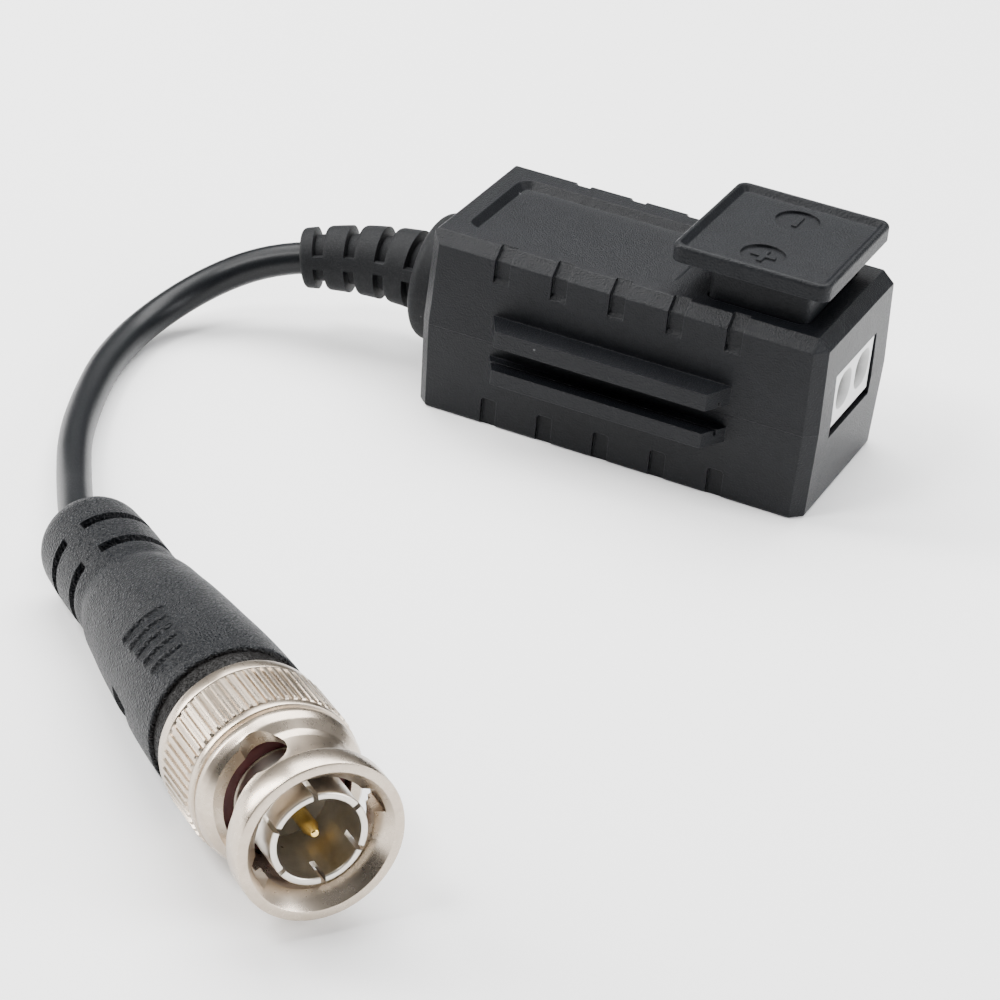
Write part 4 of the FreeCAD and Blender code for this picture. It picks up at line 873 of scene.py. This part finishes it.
def slotCentre(index):
    return housingBoot["length"] - housingBoot["fromTip"] - index * housingBoot["slotPitch"]


def bootFrame(length):
    bend = math.radians(housingBoot["bend"])
    radius = housingBoot["length"] / bend
    roll = math.radians(housingBoot["roll"])
    inward = Vector((0, -math.cos(roll), -math.sin(roll)))
    start = Vector((housingBoot["faceX"] - housingBoot["flangeLength"], 0, housingBoot["centreZ"]))
    if length <= 0:
        return start + Vector((-length, 0, 0)), Vector((-1, 0, 0))
    angle = length / radius
    place = start + Vector((-radius * math.sin(angle), 0, 0)) + inward * (radius * (1 - math.cos(angle)))
    return place, Vector((-math.cos(angle), 0, 0)) + inward * math.sin(angle)


def bootRadius(s, angle):
    share = max(s, 0) / housingBoot["length"]
    outer = housingBoot["root"] + (housingBoot["tip"] - housingBoot["root"]) * share
    core = housingBoot["coreRoot"] + (housingBoot["coreTip"] - housingBoot["coreRoot"]) * share
    edge = housingBoot["edge"]
    if s > housingBoot["length"] - edge:
        outer -= edge - math.sqrt(max(edge ** 2 - (s - housingBoot["length"] + edge) ** 2, 0))
    webOff = abs(outer * math.sin(angle - math.radians(housingBoot["webRoll"])))
    half, slotEdge, soft = housingBoot["slotWidth"] / 2, housingBoot["slotEdge"], housingBoot["softLength"]
    webHalf, webEdge = housingBoot["webHalf"], housingBoot["webEdge"]
    radius = outer
    for index in range(housingBoot["slots"]):
        off = s - slotCentre(index)
        # the rib's edge nearer the cable is rounder
        wall = 1 - smoothStep(half - slotEdge, half + slotEdge, abs(off))
        softening = 0.0
        if -half - soft < off < -half:
            t = (off + half + soft) / soft
            softening = housingBoot["softDepth"] * (1 - math.sqrt(max(1 - t * t, 0)))
        notch = smoothStep(webHalf - webEdge, webHalf + webEdge, webOff)
        radius -= ((outer - core) * wall + softening * (1 - wall)) * notch
    return radius


def bootStations():
    # places along the boot where its outline is computed, closer together near the slots and the tip
    length, half = housingBoot["length"], housingBoot["slotWidth"] / 2
    spacing = 0.35
    marks = {spacing * step for step in range(39)} | {0.0, length}
    for index in range(housingBoot["slots"]):
        centre = slotCentre(index)
        for side in (-1, 1):
            marks.update(centre + side * (half + offset) for offset in (-0.06, -0.03, 0, 0.03, 0.06))
        marks.update(centre - half - offset for offset in (0.1, 0.15, 0.2, 0.28, 0.38, 0.5))
    marks.update(length - offset for offset in (0.02, 0.06, 0.12, 0.2, 0.3, 0.45))
    return sorted(mark for mark in marks if 0.4 < mark <= length)


def buildHousingBoot():
    segments, length, bore = housingBoot["segments"], housingBoot["length"], housingBoot["bore"]
    flange, root, neck, lip = (housingBoot[key] for key in ("flange", "root", "neck", "lip"))
    faceAt = -housingBoot["flangeLength"]
    wallAt = faceAt - housingBoot["wall"]
    lipAt = wallAt - housingBoot["lipLength"]
    flangeProfile = roundCorners([
        (lipAt, bore, 0), (lipAt, lip, 0), (wallAt, lip, 0), (wallAt, neck, 0), (faceAt, neck, 0),
        (faceAt, flange, 0.1), (-0.0, flange, 1.6), (0.0, root, 0.25), (0.35, root, 0)], False, 6)
    rows = [(s, [radius] * segments) for s, radius in flangeProfile]
    for s in bootStations():
        rows.append((s, [bootRadius(s, 2 * math.pi * index / segments) for index in range(segments)]))
    rows.append((length, [bore + housingBoot["boreEdge"]] * segments))
    rows.append((length - housingBoot["boreEdge"], [bore] * segments))
    for share in range(9, 0, -1):
        rows.append((length * share / 10, [bore] * segments))
    vertices = []
    for s, radii in rows:
        place, heading = bootFrame(s)
        side = Vector((0, 0, 1)).cross(heading).normalized()
        up = heading.cross(side).normalized()
        for index, radius in enumerate(radii):
            angle = 2 * math.pi * index / segments
            vertices.append(place + side * (radius * math.cos(angle)) + up * (radius * math.sin(angle)))
    piece = addPiece("cableRelief", vertices, ringFaces(len(rows), segments), None, 40)
    wearFinish(piece, housingBootVinyl)
    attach(piece, "housing")
    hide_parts("housing_boot")
    return piece


cableRelief = buildHousingBoot()
print("housing boot moulded:", len(cableRelief.data.polygons), "faces")

# floor, lights and camera
studio = {
    "floor": (0.9, 0.9, 0.9, 1), "floorRough": 0.8, "floorGlow": 0.12,
    "floorReach": 1500, "floorDrop": 0.00002,
    "sky": (0.25, 0.25, 0.25, 1), "skyTop": 1.3, "skyBack": 1.0, "skyFront": 0.44, "horizon": 0.2,
    "backRange": (-0.75, 0.45), "topRange": (0.55, 0.85), "horizonRange": (0.08, 0.36),
    "lamps": [
        # name, place, aimed at, width, height, power, colour
        ("overheadSoft", (-0.1, 0.2, 0.5), (0.0, -0.03, 0.0), 0.6, 0.45, 9.0, (1.0, 1.0, 1.0)),
        ("leftStrip", (-0.5, -0.12, 0.3), (-0.02, -0.07, 0.0), 0.18, 0.5, 5.5, (1.0, 0.985, 0.97)),
        ("rightPanel", (0.5, 0.02, 0.22), (0.0, -0.05, 0.01), 0.3, 0.3, 3.5, (0.97, 0.98, 1.0)),
        ("frontSoftbox", (-0.17, -0.25, 0.43), (0.0, -0.03, 0.0), 0.12, 0.12, 1.9, (1.0, 1.0, 1.0)),
    ],
}


def layFloor():
    reach = studio["floorReach"] * millimetre
    corners = [(-reach, -reach, 0), (reach, -reach, 0), (reach, reach, 0), (-reach, reach, 0)]
    mesh = bpy.data.meshes.new("studioFloor")
    mesh.from_pydata(corners, [], [(0, 1, 2, 3)])
    floor = bpy.data.objects.new("studioFloor", mesh)
    floor.location.z = -studio["floorDrop"]
    bpy.context.scene.collection.objects.link(floor)
    material = bpy.data.materials.new("paperWhite")
    material.use_nodes = True
    tree = material.node_tree
    feed(tree, tree.nodes["Principled BSDF"], {
        "Base Color": studio["floor"], "Roughness": studio["floorRough"],
        "Emission Color": (1, 1, 1, 1), "Emission Strength": studio["floorGlow"]})
    floor.data.materials.append(material)


def lightSky():
    # soft grey sky: brightest overhead, dimmer towards the camera, darkest at the horizon
    world = bpy.data.worlds.new("studioWorld")
    world.use_nodes = True
    tree = world.node_tree
    direction = tree.nodes.new("ShaderNodeTexCoord")
    split = addNode(tree, "ShaderNodeSeparateXYZ", {}, {0: direction.outputs["Generated"]})
    depth, height = split.outputs["Y"], split.outputs["Z"]
    backward = rangeNode(tree, depth, *studio["backRange"], studio["skyFront"], studio["skyBack"], True)
    upward = rangeNode(tree, height, *studio["topRange"], 0.0, studio["skyTop"], True)
    lifted = rangeNode(tree, height, *studio["horizonRange"], studio["horizon"], 1.0, True)
    strength = mathNode(tree, "MAXIMUM", mathNode(tree, "MULTIPLY", backward, lifted), upward)
    feed(tree, tree.nodes["Background"], {"Strength": strength, "Color": studio["sky"]})
    bpy.context.scene.world = world


def hangLamps():
    for name, place, target, width, height, power, colour in studio["lamps"]:
        lamp = bpy.data.lights.new(name, "AREA")
        lamp.shape = "RECTANGLE"
        lamp.size = width
        lamp.size_y = height
        lamp.energy = power
        lamp.color = colour
        holder = bpy.data.objects.new(name, lamp)
        holder.location = place
        holder.rotation_euler = (Vector(target) - Vector(place)).to_track_quat("-Z", "Y").to_euler()
        bpy.context.scene.collection.objects.link(holder)


layFloor()
lightSky()
hangLamps()

view = {
    "place": (0.102454, -0.282034, 0.161459),
    "right": (0.89852407, 0.42930073, 0.09140778),
    "up": (-0.28704846, 0.4171883, 0.86229758),
    "back": (0.33205073, -0.80103358, 0.49808384),
    "lens": 123.95, "sensor": 36.0, "near": 0.01, "far": 10,
}


def buildCamera():
    data = bpy.data.cameras.new("photoCamera")
    data.lens = view["lens"]
    data.sensor_width = view["sensor"]
    data.sensor_height = view["sensor"]
    data.clip_start = view["near"]
    data.clip_end = view["far"]
    camera = bpy.data.objects.new("photoCamera", data)
    bpy.context.scene.collection.objects.link(camera)
    turn = Matrix((view["right"], view["up"], view["back"])).transposed().to_4x4()
    camera.matrix_world = Matrix.Translation(view["place"]) @ turn
    bpy.context.scene.camera = camera


buildCamera()
print("studio and camera set")

bpy.context.view_layer.update()
